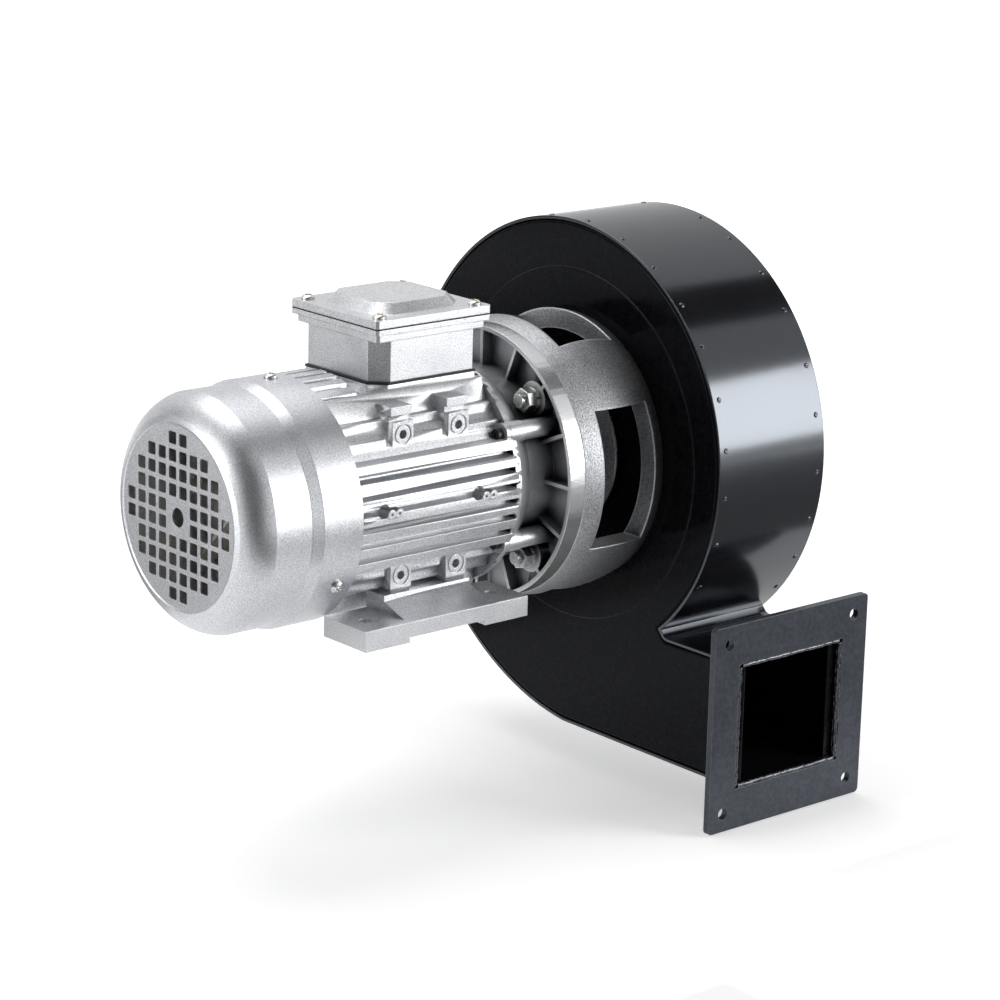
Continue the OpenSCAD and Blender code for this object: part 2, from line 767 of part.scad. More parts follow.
// The flange endshield's screws lie outside the housing's wall, at these places
module ear_places() {
    for (a = ear_angles) rotate([a, 0, 0]) translate([0, 0, ear_reach]) children();
}
ear_depth = 14;
ear_lug_len = 3.2;
ear_head_x = housing_x1 - ear_lug_len;

/* Stator and rotor */
stator_bore_r = rotor_d / 2 + air_gap;
slot_r = stator_bore_r + slot_depth;
slot_w = stator_bore_r * 3 / slot_count;

module stator_core() color("dimgray") on_axis() {
    difference() {
        rod(core_x0, core_x1, bore_r - fit);
        rod(core_x0 - over, core_x1 + over, stator_bore_r);
        around(slot_count)
            block([core_x0 - over, -slot_w / 2, stator_bore_r - over], [core_x1 + over, slot_w / 2, slot_r]);
    }
}

module windings() color("peru") on_axis() {
    inner = stator_bore_r + air_gap + step / 2;
    outer = slot_r - step / 2;
    tube(core_x0 - end_turn_len, core_x0 - fit, outer, inner);
    tube(core_x1 + fit, core_x1 + end_turn_len, outer, inner);
}

module rotor_core() color("gray") on_axis() {
    tube(core_x0, core_x1, rotor_d / 2, shaft_core_d / 2 + fit);
    for (end = [-1, 1]) {
        x = end > 0 ? core_x1 - fit : core_x0 - end_ring_len + fit;
        tube(x, x + end_ring_len, rotor_d / 2 - air_gap, rotor_d / 2 - slot_depth);
    }
}

/* Shaft */
key_len = hub_len - 2 * key_w;
key_x = hub_x0 + key_w;
shoulder_x0 = rear_bearing_x + bearing_w + fit;
shoulder_x1 = front_bearing_x - fit;

module shaft() color("lightgray") on_axis() {
    difference() {
        union() {
            rod(shaft_x0, shaft_x1, shaft_r);
            rod(rear_bearing_x - seat_lip, front_bearing_x + bearing_w + seat_lip, journal_r);
            rod(shoulder_x0, shoulder_x1, shaft_core_d / 2);
        }
        tube(fan_x1 - fan_hub_len - 2 * fit - circlip_t, fan_x1 - fan_hub_len, shaft_r + over,
            shaft_r - circlip_t / 2);
        block([key_x, -key_w / 2, shaft_r - key_h / 2], [key_x + key_len, key_w / 2, shaft_r + over]);
        rod(shaft_x1 - bolt_depth, shaft_x1 + over, m6[0] + fit);
    }
}

bolt_depth = 18;

module impeller_key() color("gray") on_axis()
    block([key_x + fit, -key_w / 2 + fit, shaft_r - key_h / 2 + fit],
        [key_x + key_len - fit, key_w / 2 - fit, shaft_r + key_h / 2]);

/* Flange endshield */
seal_x0 = flange_x - 4 * seat_lip;
seal_r = journal_r + seat_wall;
nut_t = m8[2];
washer_t = 2;
bell_x = flange_x - flange_t - seat_lip;
// The bell is at its narrowest before it reaches the nuts
bell_foot_x = bell_x - washer_t - nut_t;
front_seat_x = front_bearing_x + bearing_w + fit;

module flange_endshield() color("silver") on_axis() {
    difference() {
        union() {
            difference() {
                turned([[0, housing_x1 - spigot_len], [bore_r - fit, housing_x1 - spigot_len],
                    [bore_r - fit, housing_x1 + fit], [collar_d / 2, housing_x1 + fit],
                    [collar_d / 2, housing_x1 + collar_len], [bell_neck_r, bell_foot_x],
                    [bell_neck_r, flange_x - flange_t], [flange_r, flange_x - flange_t],
                    [flange_r, flange_x], [flange_spigot_d / 2, flange_x],
                    [flange_spigot_d / 2, flange_x + flange_spigot_len],
                    [0, flange_x + flange_spigot_len]]);
                // A pocket behind the flange leaves a thin web
                tube(flange_x - flange_t - over, flange_x - flange_web_t, flange_r - flange_rim_t, bell_neck_r);
            }
            // Ribs and the pads of the nuts stand in the pocket
            around(shield_rib_count)
                block([flange_x - flange_t, -shield_rib_t / 2, bell_neck_r - over],
                    [flange_x - flange_web_t + over, shield_rib_t / 2, flange_r - flange_rim_t + over]);
            around(4, stud_angle) translate([0, 0, flange_pcd / 2])
                rod(flange_x - flange_t, flange_x - flange_web_t + over, flange_hole_d);
            ear_places() {
                rod(housing_x1 + 2 * fit, housing_x1 + ear_len, ear_d / 2);
                rod(housing_x1 + collar_len / 2, flange_x - flange_web_t + over, ear_d / 2 - step / 4);
            }
        }
        // Hollow behind the bearing seat
        difference() {
            turned([[0, housing_x1 - spigot_len - over], [bore_r - rim_t, housing_x1 - spigot_len - over],
                [bore_r - rim_t, housing_x1 + collar_len / 2],
                [bell_neck_r - rim_t, bell_foot_x], [bell_neck_r - rim_t, bell_x - rim_t],
                [0, bell_x - rim_t]]);
            rod(front_bearing_x - fit, bell_x, seat_r);
        }
        // Hollow in the flange face
        tube(bell_x + seat_wall, flange_x + flange_spigot_len + over, flange_spigot_d / 2 - seat_wall, seat_r);
        rod(front_bearing_x - over, front_seat_x, bearing_r + fit);
        rod(front_bearing_x, flange_x + flange_spigot_len + over, lip_hole_r);
        rod(seal_x0, flange_x + flange_spigot_len + over, seal_r + fit);
        around(4, stud_angle) translate([0, 0, flange_pcd / 2])
            rod(flange_x - flange_t - over, flange_x + over, flange_hole_d / 2);
        ear_places() rod(housing_x1 - over, housing_x1 + ear_depth + over, m4_cap[0] + fit);
    }
}

// The screws pass through the housing's lugs into the tapped ears of the endshield
module front_shield_screws() color("dimgray") on_axis() ear_places()
    translate([ear_head_x - fit, 0, 0]) mirror([1, 0, 0]) cap_screw(m4_cap, ear_lug_len + ear_depth);

module shaft_seal() color("black") on_axis()
    tube(seal_x0 + fit, flange_x - fit, seal_r, shaft_r + run_fit);

/* Feet */
foot_top_w = boss_hole_depth + 2 * m6[0] + seat_lip / 2;
foot_web_x = boss_x - step / 3;
foot_top_y1 = boss_reach;
foot_top_y0 = foot_top_y1 - foot_top_w;
web_foot_inset = 5.1;
web_foot_y = foot_outer_y - web_foot_inset;
rail_z = -shaft_height;
plate_z1 = -foot_seat - fit;
plate_z0 = plate_z1 - foot_top_t;

module foot(side) on_axis() scale_side(side) {
    difference() {
        union() {
            block([-foot_len / 2, -foot_outer_y, rail_z], [foot_len / 2, -foot_inner_y, rail_z + foot_t]);
            block([foot_web_x - foot_web_len / 2, -foot_top_y1, plate_z0],
                [foot_web_x + foot_web_len / 2, -foot_top_y0, plate_z1]);
            translate([foot_web_x, 0, 0]) rotate([90, 0, 90]) linear_extrude(foot_web_len, center = true)
                polygon([[-foot_top_y1, plate_z1], [-foot_top_y0, plate_z1],
                    [-foot_top_y0, rail_z + foot_t / 2], [-web_foot_y, rail_z + foot_t / 2],
                    [-web_foot_y, rail_z + foot_t], [-foot_top_y1, plate_z0]]);
        }
        block([-foot_len / 2 + foot_pad_len, -foot_outer_y - over, rail_z - over],
            [foot_len / 2 - foot_pad_len, -foot_inner_y + over, rail_z + foot_relief]);
        for (end = [-1, 1]) {
            translate([end * foot_hole_pitch_x / 2, -foot_hole_pitch_y / 2, rail_z - over])
                cylinder(h = foot_t + 2 * over, r = foot_hole_d / 2);
            translate([end * boss_pitch / 2 + boss_x, -bolt_y, rail_z - over])
                cylinder(h = shaft_height, r = m6[0] + screw_play);
            translate([end * boss_pitch / 2 + boss_x, -bolt_y, rail_z - over])
                cylinder(h = over + rail_z_to_head, r = m6[1] + screw_play);
        }
    }
}

bolt_inset = 9;
bolt_y = boss_reach - bolt_inset;
rail_z_to_head = plate_z1 - foot_top_t - rail_z;

// The right foot is the left one mirrored across the shaft
module scale_side(side) mirror([0, side > 0 ? 1 : 0, 0]) children();

module left_foot() color("silver") foot(-1);
module right_foot() color("silver") foot(1);

module foot_bolts() color("gray") on_axis() for (side = [-1, 1], end = [-1, 1])
    translate([end * boss_pitch / 2 + boss_x, side * bolt_y, plate_z0 - fit]) rotate([0, 90, 0])
        cap_screw(m6, foot_top_t + foot_bolt_depth - over / 2);

/* Lantern */
lantern_r = lantern_d / 2;
lantern_bore_r = lantern_r - lantern_wall;
volute_pcd = lantern_d - 2 * volute_screw_inset;
window_w = window_share * lantern_d;
swell_r = (lantern_len * lantern_len / 4 + lantern_swell * lantern_swell) / (2 * lantern_swell);
swell_half = asin(lantern_len / 2 / swell_r);
window_x0 = flange_x + lantern_front_t;
window_x1 = volute_x0 - lantern_rear_t;
stud_depth = lantern_front_t - seat_lip;
volute_screw_depth = lantern_rear_t - seat_lip;

module lantern() color("darkgray") on_axis() {
    centre = [flange_x + lantern_len / 2, lantern_r + lantern_swell - swell_r];
    difference() {
        turned(concat(
            [for (p = arc(centre, swell_r, 90 + swell_half, 90 - swell_half, 10)) [p[1], p[0]]],
            [[lantern_bore_r, volute_x0], [lantern_bore_r, window_x0],
             [flange_spigot_d / 2 + fit, window_x0], [flange_spigot_d / 2 + fit, flange_x]]));
        for (turn = [0, 90]) rotate([turn, 0, 0])
            block([window_x0, -lantern_d, -window_w / 2], [window_x1, lantern_d, window_w / 2]);
        around(4, stud_angle) translate([0, 0, flange_pcd / 2])
            rod(flange_x - over, flange_x + stud_depth, m8[0] + fit);
        around(volute_screw_count, stud_angle / 2) translate([0, 0, volute_pcd / 2])
            rod(volute_x0 - volute_screw_depth, volute_x0 + over, m5[0] + fit);
    }
}

stud_tail = 3;

module flange_studs() color("gainsboro") on_axis() around(4, stud_angle)
    translate([0, 0, flange_pcd / 2])
        rod(flange_x - flange_t - washer_t - nut_t - stud_tail, flange_x + stud_depth - fit, m8[0]);

module flange_nuts() color("gainsboro") on_axis() around(4, stud_angle)
    translate([flange_x - flange_t - washer_t - nut_t - fit, 0, flange_pcd / 2])
        difference() {
            rotate([0, 90, 0]) cylinder(h = nut_t - fit, r = m8[1], $fn = 6);
            rod(-over, nut_t + over, m8[0] + fit);
        }

module spring_washers() color("gainsboro") on_axis() around(4, stud_angle)
    translate([flange_x - flange_t - washer_t, 0, flange_pcd / 2])
        difference() {
            tube(0, washer_t - fit, m8[1] - step / 8, m8[0] + fit);
            rotate([30, 0, 0]) block([-over, -washer_t / 4, 0], [washer_t + over, washer_t / 4, m8[1] + over]);
        }

/* Cooling disc */
disc_x1 = volute_x0 - land_h - disc_gap;
disc_x0 = disc_x1 - disc_t;
disc_hub_r = 2 * shaft_r;
disc_hub_len = 4 * m4[0] + 2 * disc_t;

module cooling_disc() color("lightgray") on_axis() {
    difference() {
        union() {
            rod(disc_x0, disc_x1, disc_d / 2);
            rod(disc_x0 - disc_hub_len, disc_x1, disc_hub_r);
        }
        rod(disc_x0 - disc_hub_len - over, disc_x1 + over, shaft_r + fit);
        translate([disc_x0 - disc_hub_len / 2, 0, 0])
            cylinder(h = disc_hub_r + over, r = m4[0] + fit);
    }
}

module disc_set_screw() color("gray") on_axis() translate([disc_x0 - disc_hub_len / 2, 0, 0])
    difference() {
        translate([0, 0, shaft_r + fit]) cylinder(h = disc_hub_r - shaft_r - 2 * fit, r = m4[0]);
        translate([0, 0, disc_hub_r - m4[0]]) cylinder(h = m4[0] + over, r = m4[0] / 2, $fn = 6);
    }

/* Volute */
// Radius of the scroll at an angle from -Y towards +Z
function scroll(a) = scroll_r + scroll_growth
    * (scroll_linear_share * a / 100 + (1 - scroll_linear_share) * (a / 100) * (a / 100));

floor_z = -scroll(270);
roof_z = floor_z + duct_h;

// The volute's outline in Y and Z, set in by an amount, out to the given reach
function volute_points(inset, reach) = concat(
    [[-reach, roof_z - inset], [-(scroll(tongue_angle) - inset) * cos(tongue_angle), roof_z - inset]],
    [for (a = [tongue_angle : scroll_step : 270])
        (scroll(a) - inset) * [-cos(a), sin(a)]],
    [[0, floor_z + inset], [-reach, floor_z + inset]]);

weld_step = 1;
duct_reach = outlet_reach - weld_step;

module scroll_wrap() color("#1c1c1f") on_axis() slab(volute_x0, volute_x1) difference() {
    polygon(volute_points(0, duct_reach));
    polygon(volute_points(wrap_in, duct_reach + over));
}

module side_plate(x0, lip_x0, lip_x1) {
    slab(x0, x0 + volute_sheet) polygon(volute_points(wrap_in + fit, duct_reach));
    slab(lip_x0, lip_x1) difference() {
        polygon(volute_points(wrap_in + fit, duct_reach));
        polygon(volute_points(2 * wrap_in + fit, duct_reach + over));
    }
}

module near_plate() color("#1c1c1f") on_axis() {
    difference() {
        union() {
            side_plate(volute_x0, volute_x0 + volute_sheet / 2, volute_x0 + lip_w);
            tube(volute_x0 - land_h, volute_x0 + volute_sheet / 2, land_d / 2, lantern_r + 2 * step);
            rod(volute_x0 - land_h, volute_x0 + volute_sheet / 2, lantern_bore_r - fit);
        }
        rod(volute_x0 - over, volute_x0 + lip_w, plate_hole_d / 2);
        around(volute_screw_count, stud_angle / 2) translate([0, 0, volute_pcd / 2])
            rod(volute_x0 - over, volute_x0 + volute_sheet + over, m5[0] + screw_play);
    }
}

module volute_screws() color("gainsboro") on_axis() around(volute_screw_count, stud_angle / 2)
    translate([volute_x0 + volute_sheet + fit, 0, volute_pcd / 2])
        hex_screw(m5, volute_sheet + volute_screw_depth - over);

module far_plate() color("#1c1c1f") on_axis() {
    difference() {
        side_plate(volute_x1 - volute_sheet, volute_x1 - lip_w, volute_x1 - volute_sheet / 2);
        rod(volute_x1 - lip_w, volute_x1 + over, inlet_d / 2 + inlet_mouth_r);
        around(inlet_screw_count) translate([0, 0, inlet_pcd / 2])
            rod(volute_x1 - volute_sheet - over, volute_x1 + over, m4[0] + fit);
    }
}

/* Outlet flange */
outlet_x = (volute_x0 + volute_x1) / 2;
outlet_z = (floor_z + roof_z) / 2;

module outlet_flange() color("#242426") on_axis() {
    difference() {
        block([outlet_x - outlet_w / 2, -outlet_reach, outlet_z - outlet_w / 2],
            [outlet_x + outlet_w / 2, -outlet_reach + outlet_t, outlet_z + outlet_w / 2]);
        block([volute_x0 - fit, -outlet_reach - over, floor_z - fit],
            [volute_x1 + fit, -outlet_reach + outlet_t + over, roof_z + fit]);
        for (i = [-1, 1], j = [-1, 1])
            translate([outlet_x + i * outlet_hole_pitch / 2, -outlet_reach - over,
                outlet_z + j * outlet_hole_pitch / 2])
                rotate([-90, 0, 0]) cylinder(h = outlet_t + 2 * over, r = outlet_hole_d / 2);
    }
}

/* Inlet nozzle */
nozzle_x0 = blade_x1 - inlet_sheet;
nozzle_x1 = volute_x1 + fit + inlet_sheet;
mouth_r = inlet_d / 2 + inlet_mouth_r;
inlet_pcd = inlet_rim_d - 2 * inlet_screw_inset;

module inlet_nozzle() color("#1c1c1f") on_axis() {
    difference() {
        turned(concat([[inlet_d / 2, nozzle_x0]],
            [for (p = arc([0, 0], inlet_mouth_r, 0, 90, 6))
                [mouth_r - p[0], nozzle_x1 - inlet_mouth_r + p[1]]],
            [[inlet_rim_d / 2, nozzle_x1], [inlet_rim_d / 2, nozzle_x1 - inlet_sheet]],
            [for (p = arc([0, 0], inlet_mouth_r - inlet_sheet, 90, 0, 6))
                [mouth_r - p[0], nozzle_x1 - inlet_mouth_r + p[1]]],
            [[inlet_d / 2 + inlet_sheet, nozzle_x0]]));
        around(inlet_screw_count) translate([0, 0, inlet_pcd / 2])
            rod(nozzle_x1 - 2 * inlet_sheet, nozzle_x1 + over, m4[0] + screw_play);
    }
}

module inlet_screws() color("gainsboro") on_axis() around(inlet_screw_count)
    translate([nozzle_x1 + fit, 0, inlet_pcd / 2]) pan_screw(m4, 2 * inlet_sheet + 2 * volute_sheet);

/* Impeller */
impeller_r = impeller_d / 2;
blade_in_r = eye_r + blade_t;
blade_lean = 55;
rivet_r = 2;
rivet_count = 6;

module impeller_back() color("silver") on_axis() {
    difference() {
        rod(back_x0, blade_x0, impeller_r);
        rod(back_x0 - over, blade_x0 + over, hub_spigot_r + fit);
        around(rivet_count) translate([0, 0, flange_rivet_r]) rod(back_x0 - over, blade_x0 + over, rivet_r + fit);
    }
}

hub_spigot_r = hub_d / 2;
hub_flange_r = hub_spigot_r + 5 * rivet_r;
flange_rivet_r = hub_spigot_r + 2.6 * rivet_r;

// A backward curved blade: a stretch of a cylinder wall between the eye and the rim
module blade() {
    intersection() {
        rotate([blade_lean, 0, 0]) translate([0, 0, blade_curve_r])
            tube(blade_x0 + fit, blade_x1, blade_curve_r + blade_t / 2, blade_curve_r - blade_t / 2);
        tube(blade_x0 + fit, blade_x1, impeller_r - blade_t, blade_in_r);
        block([blade_x0, -impeller_d, 0], [blade_x1 + over, 0, impeller_d]);
    }
}

module impeller_blades() color("silver") on_axis() around(blade_count) blade();

module impeller_shroud() color("silver") on_axis()
    tube(blade_x1 + fit, blade_x1 + fit + impeller_sheet, impeller_r, eye_r + 2 * fit);

module impeller_hub() color("darkgray") on_axis() {
    difference() {
        union() {
            rod(hub_x0, hub_x1, hub_spigot_r);
            rod(blade_x0 + fit, blade_x0 + 2 * impeller_sheet, hub_flange_r);
        }
        rod(hub_x0 - over, hub_x1 + over, shaft_r + fit);
        block([hub_x0 - over, -key_w / 2, 0], [hub_x1 + over, key_w / 2, shaft_r + key_h / 2 + fit]);
        around(rivet_count) translate([0, 0, flange_rivet_r])
            rod(blade_x0 - over, blade_x0 + 2 * impeller_sheet + over, rivet_r + fit);
    }
}

module hub_rivets() color("gray") on_axis() around(rivet_count) translate([0, 0, flange_rivet_r]) {
    rod(back_x0 - fit, blade_x0 + 2 * impeller_sheet + fit, rivet_r);
    rod(back_x0 - fit - rivet_r, back_x0 - fit, 2 * rivet_r - fit);
    rod(blade_x0 + 2 * impeller_sheet + fit, blade_x0 + 2 * impeller_sheet + rivet_r, 2 * rivet_r - fit);
}

module impeller_washer() color("gainsboro") on_axis()
    tube(hub_x1 + fit, hub_x1 + washer_t, hub_d / 3, m6[0] + screw_play);

module impeller_bolt() color("gainsboro") on_axis()
    translate([hub_x1 + washer_t + fit, 0, 0]) hex_screw(m6, washer_t + bolt_depth - over);

/* Terminal box */
// A rectangle with bevelled corners
module bevelled(l, w, c) polygon([[-l / 2 + c, -w / 2], [l / 2 - c, -w / 2], [l / 2, -w / 2 + c],
    [l / 2, w / 2 - c], [l / 2 - c, w / 2], [-l / 2 + c, w / 2], [-l / 2, w / 2 - c], [-l / 2, -w / 2 + c]]);

// A rectangle with two opposite corners bevelled
module box_plan(l, w, c) polygon([[-l / 2 + c, -w / 2], [l / 2, -w / 2], [l / 2, w / 2 - c],
    [l / 2 - c, w / 2], [-l / 2, w / 2], [-l / 2, -w / 2 + c]]);

// A flat piece of the box between two heights above the shaft axis
module layer(z0, z1) translate([box_x, 0, z0]) linear_extrude(z1 - z0) children();

lid_corner = box_wall / 2;
lid_screw_inset = 7;
lid_screw_x = lid_len / 2 - lid_screw_inset;
lid_screw_y = lid_w / 2 - lid_screw_inset;

module lid_screw_places() for (i = [-1, 1], j = [-1, 1])
    translate([box_x + i * lid_screw_x, j * lid_screw_y, 0]) children();

module box_gasket() color("black") on_axis() {
    difference() {
        layer(box_seat + fit, box_z0 - fit) box_plan(box_len + box_wall, box_w + box_wall / 2, box_corner);
        translate([box_x, 0, box_seat - over]) cylinder(h = gasket_t + 2 * over, r = wire_hole_r);
        for (end = [-1, 1], side = [-1, 1]) box_screw_place(end, side)
            translate([0, 0, -over]) cylinder(h = gasket_t + 2 * over, r = m4[0] + screw_play);
    }
}

module terminal_box() color("silver") on_axis() {
    difference() {
        union() {
            layer(box_z0, box_z1 + over) box_plan(box_len, box_w, box_corner);
            // The rim has a dark groove with a narrower band below it
            layer(box_z1, rim_band_z + over) bevelled(lid_len - 2 * step, lid_w - 2 * step, lid_corner);
            layer(rim_band_z, rim_band_z + rim_groove_w + over)
                bevelled(lid_len - 3 * step, lid_w - 3 * step, lid_corner);
            layer(rim_band_z + rim_groove_w, lid_z0) bevelled(lid_len, lid_w, lid_corner);
        }
        layer(box_z0 + box_wall, lid_z0 + over)
            bevelled(box_len - 2 * box_wall, box_w - 2 * box_wall, box_corner - box_wall / 2);
        translate([box_x, 0, box_z0 - over]) cylinder(h = box_wall + 2 * over, r = wire_hole_r);
        for (end = [-1, 1], side = [-1, 1]) box_screw_place(end, side)
            cylinder(h = box_h, r = m4[0] + screw_play);
        lid_screw_places() translate([0, 0, lid_z0 - box_rim_h + over])
            cylinder(h = box_rim_h, r = m4[0] + fit);
        translate([box_x, box_w / 2 - 2 * box_wall, entry_z]) rotate([-90, 0, 0])
            cylinder(h = 3 * box_wall, r = entry_d / 2);
        terminal_screw_holes();
    }
}

rim_groove_w = 1.2;
rim_band_z = box_z1 + (box_rim_h - rim_groove_w) / 2;

module box_screws() color("gainsboro") on_axis() for (end = [-1, 1], side = [-1, 1])
    box_screw_place(end, side) head_up([0, 0, gasket_t + box_wall + fit])
        pan_screw(m4, gasket_t + box_wall + box_screw_depth - over);

/* Terminals */
block_len = 34;
block_w = 22;
block_h = 5;
block_lift = 5;
block_z0 = box_z0 + box_wall + block_lift;
terminal_pitch_x = 12;
terminal_pitch_y = 11;
block_foot_r = 3;

module terminal_screw_holes() for (end = [-1, 1])
    translate([box_x + end * block_screw_x, 0, box_z0 - over])
        cylinder(h = over + fit, r = m3[0]);
block_screw_x = block_len / 2 - block_foot_r;

module terminal_places() for (i = [-1 : 1], j = [-1, 1])
    translate([box_x + i * terminal_pitch_x, j * terminal_pitch_y / 2, 0]) children();

module terminal_block() color("#2b2b2b") on_axis() {
    difference() {
        union() {
            layer(block_z0, block_z0 + block_h) square([block_len, block_w], center = true);
            for (i = [-1, 1], j = [-1, 1])
                translate([box_x + i * (block_len / 2 - block_foot_r), j * (block_w / 2 - block_foot_r),
                    box_z0 + box_wall + fit])
                    cylinder(h = block_z0 - box_z0 - box_wall, r = block_foot_r);
        }
        terminal_places() translate([0, 0, block_z0 - over]) cylinder(h = block_h + 2 * over, r = m4[0] + fit);
    }
}

module terminal_studs() color("goldenrod") on_axis() terminal_places()
    translate([0, 0, block_z0 + fit]) cylinder(h = 3 * block_h - over, r = m4[0]);

module terminal_nuts() color("goldenrod") on_axis() terminal_places()
    translate([0, 0, block_z0 + block_h + link_t + 2 * fit]) difference() {
        cylinder(h = m4[2], r = m4[1], $fn = 6);
        translate([0, 0, -over]) cylinder(h = m4[2] + 2 * over, r = m4[0] + fit);
    }

link_t = 1;

// Three links join the terminals in pairs
module terminal_links() color("goldenrod") on_axis() for (i = [-1 : 1]) difference() {
    translate([i * terminal_pitch_x, 0, 0]) layer(block_z0 + block_h + fit, block_z0 + block_h + link_t + fit)
        square([2 * m4[1], terminal_pitch_y + 2 * m4[1]], center = true);
    terminal_places() translate([0, 0, block_z0]) cylinder(h = 3 * block_h, r = m4[0] + fit);
}

/* Lid */
module lid_gasket() color("black") on_axis() {
    difference() {
        layer(lid_z0 + fit, lid_z0 + lid_seal_t) bevelled(lid_len - fit, lid_w - fit, lid_corner);
        layer(lid_z0 - over, lid_z0 + 2 * lid_seal_t + over)
            bevelled(box_len - 2 * box_wall, box_w - 2 * box_wall, box_corner);
        lid_screw_places() translate([0, 0, lid_z0 - over]) cylinder(h = 3 * over, r = m4[0] + screw_play);
    }
}

lid_base = lid_z0 + lid_seal_t + fit;
field_l = 63.2;
field_w = 59.8;
field_slope = 5;

module terminal_lid() color("silver") on_axis() {
    difference() {
        union() {
            layer(lid_base, lid_z1) bevelled(lid_len, lid_w, lid_corner);
            // The raised field has sloping sides and bevelled corners
            hull() {
                layer(lid_z1 - over, lid_z1) bevelled(field_l, field_w, box_corner + step);
                layer(lid_z1 + lid_field_h - fit, lid_z1 + lid_field_h)
                    bevelled(field_l - 2 * field_slope, field_w - 2 * field_slope, box_corner);
            }
        }
        layer(lid_base - over, lid_z1 + lid_field_h - box_wall)
            bevelled(field_l - 2 * field_slope - box_wall, field_w - 2 * field_slope - box_wall, box_corner);
        lid_screw_places() translate([0, 0, lid_base - over])
            cylinder(h = lid_rim_h + 2 * over, r = m4[0] + screw_play);
    }
}

module lid_screws() color("gainsboro") on_axis() lid_screw_places()
    head_up([0, 0, lid_z1 + fit]) pan_screw(m4, lid_rim_h + box_rim_h - 2 * over);

/* Cable gland */
gland_hex_r = 0.62 * entry_d;
gland_hex_t = 6;
gland_neck = 8;
gland_cap_len = 15;
cable_r = entry_d / 4;

module gland_place() translate([box_x, box_w / 2 + fit, entry_z]) rotate([-90, 0, 0]) children();

module cable_gland() color("dimgray") on_axis() gland_place() difference() {
    union() {
        translate([0, 0, -box_wall - seat_lip]) cylinder(h = box_wall + seat_lip + gland_hex_t + gland_neck,
            r = entry_d / 2 - fit);
        cylinder(h = gland_hex_t, r = gland_hex_r, $fn = 6);
    }
    translate([0, 0, -box_wall - seat_lip - over])
        cylinder(h = 3 * gland_cap_len, r = cable_r + seat_lip);
}

module gland_nut() color("dimgray") on_axis() gland_place() difference() {
    union() {
        translate([0, 0, gland_hex_t + fit]) cylinder(h = gland_cap_len / 2, r = gland_hex_r, $fn = 6);
        translate([0, 0, gland_hex_t + fit]) cylinder(h = gland_cap_len, r = gland_hex_r * 0.9);
    }
    translate([0, 0, gland_hex_t - over]) cylinder(h = gland_neck + over + fit, r = entry_d / 2);
    translate([0, 0, gland_hex_t - over]) cylinder(h = 2 * gland_cap_len, r = cable_r);
}

fan_cowl();
cowl_screws();
cooling_fan();
fan_circlip();
rear_endshield();
rear_bearing_outer();
rear_bearing_balls();
rear_bearing_inner();
wave_spring();
rear_shield_screws();
stator_housing();
stator_core();
windings();
rotor_core();
shaft();
impeller_key();
flange_endshield();
front_bearing_outer();
front_bearing_balls();
front_bearing_inner();
shaft_seal();
front_shield_screws();
left_foot();
right_foot();
foot_bolts();
lantern();
flange_studs();
flange_nuts();
spring_washers();
cooling_disc();
disc_set_screw();
near_plate();
scroll_wrap();
far_plate();
outlet_flange();
volute_screws();
inlet_nozzle();
inlet_screws();
impeller_back();
impeller_blades();
impeller_shroud();
impeller_hub();
hub_rivets();
impeller_washer();
impeller_bolt();
box_gasket();
terminal_box();
box_screws();
terminal_block();
terminal_studs();
terminal_nuts();
terminal_links();
lid_gasket();
terminal_lid();
lid_screws();
cable_gland();
gland_nut();
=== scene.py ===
import math

import bmesh
import bpy
from mathutils import Matrix, Vector


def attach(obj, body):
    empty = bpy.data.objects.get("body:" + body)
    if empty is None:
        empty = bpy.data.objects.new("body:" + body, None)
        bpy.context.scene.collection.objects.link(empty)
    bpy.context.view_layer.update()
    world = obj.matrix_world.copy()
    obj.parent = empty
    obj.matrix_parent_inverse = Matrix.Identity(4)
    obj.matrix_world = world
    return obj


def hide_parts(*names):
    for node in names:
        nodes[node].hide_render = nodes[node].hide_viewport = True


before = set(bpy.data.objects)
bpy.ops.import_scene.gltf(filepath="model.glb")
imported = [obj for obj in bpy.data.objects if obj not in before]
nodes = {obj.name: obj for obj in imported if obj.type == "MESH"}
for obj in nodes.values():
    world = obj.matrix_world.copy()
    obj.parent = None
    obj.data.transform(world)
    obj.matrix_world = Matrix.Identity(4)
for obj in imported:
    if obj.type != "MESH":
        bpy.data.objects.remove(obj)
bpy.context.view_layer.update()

# Camera: a long lens looks down on the motor's fan end from the outlet side.
turn, tilt, roll = math.radians(-40.812), math.radians(15.227), math.radians(1.39)
back = Vector((math.sin(turn) * math.cos(tilt), -math.cos(turn) * math.cos(tilt), math.sin(tilt)))
level = Vector((math.cos(turn), math.sin(turn), 0))
upright = back.cross(level)
right = math.cos(roll) * level + math.sin(roll) * upright
above = -math.sin(roll) * level + math.cos(roll) * upright
lens = bpy.data.cameras.new("camera")
lens.lens, lens.sensor_width, lens.clip_end = 116.62, 36, 20
camera = bpy.data.objects.new("camera", lens)
bpy.context.scene.collection.objects.link(camera)
camera.matrix_world = Matrix.Translation((-1.09483, -1.382329, 0.541783)) @ Matrix(
    (right, above, back)).transposed().to_4x4()
bpy.context.scene.camera = camera


# Fan cowl: one pressed steel cap over the cooling fan, sprayed with a fine sparkling silver
# paint. Its shallow shoulder ends in a crease, a sloping step leads to the wider front part,
# and square air holes are punched in the flat face. Three screws hold it.
axis_z = 0.071


def link(tree, a, b):
    tree.links.new(a, b)


def noise_of(tree, coords, scale, detail=3.0, rough=0.5):
    noise = tree.nodes.new("ShaderNodeTexNoise")
    noise.inputs["Scale"].default_value = scale
    noise.inputs["Detail"].default_value = detail
    noise.inputs["Roughness"].default_value = rough
    link(tree, coords, noise.inputs["Vector"])
    return noise.outputs["Fac"]


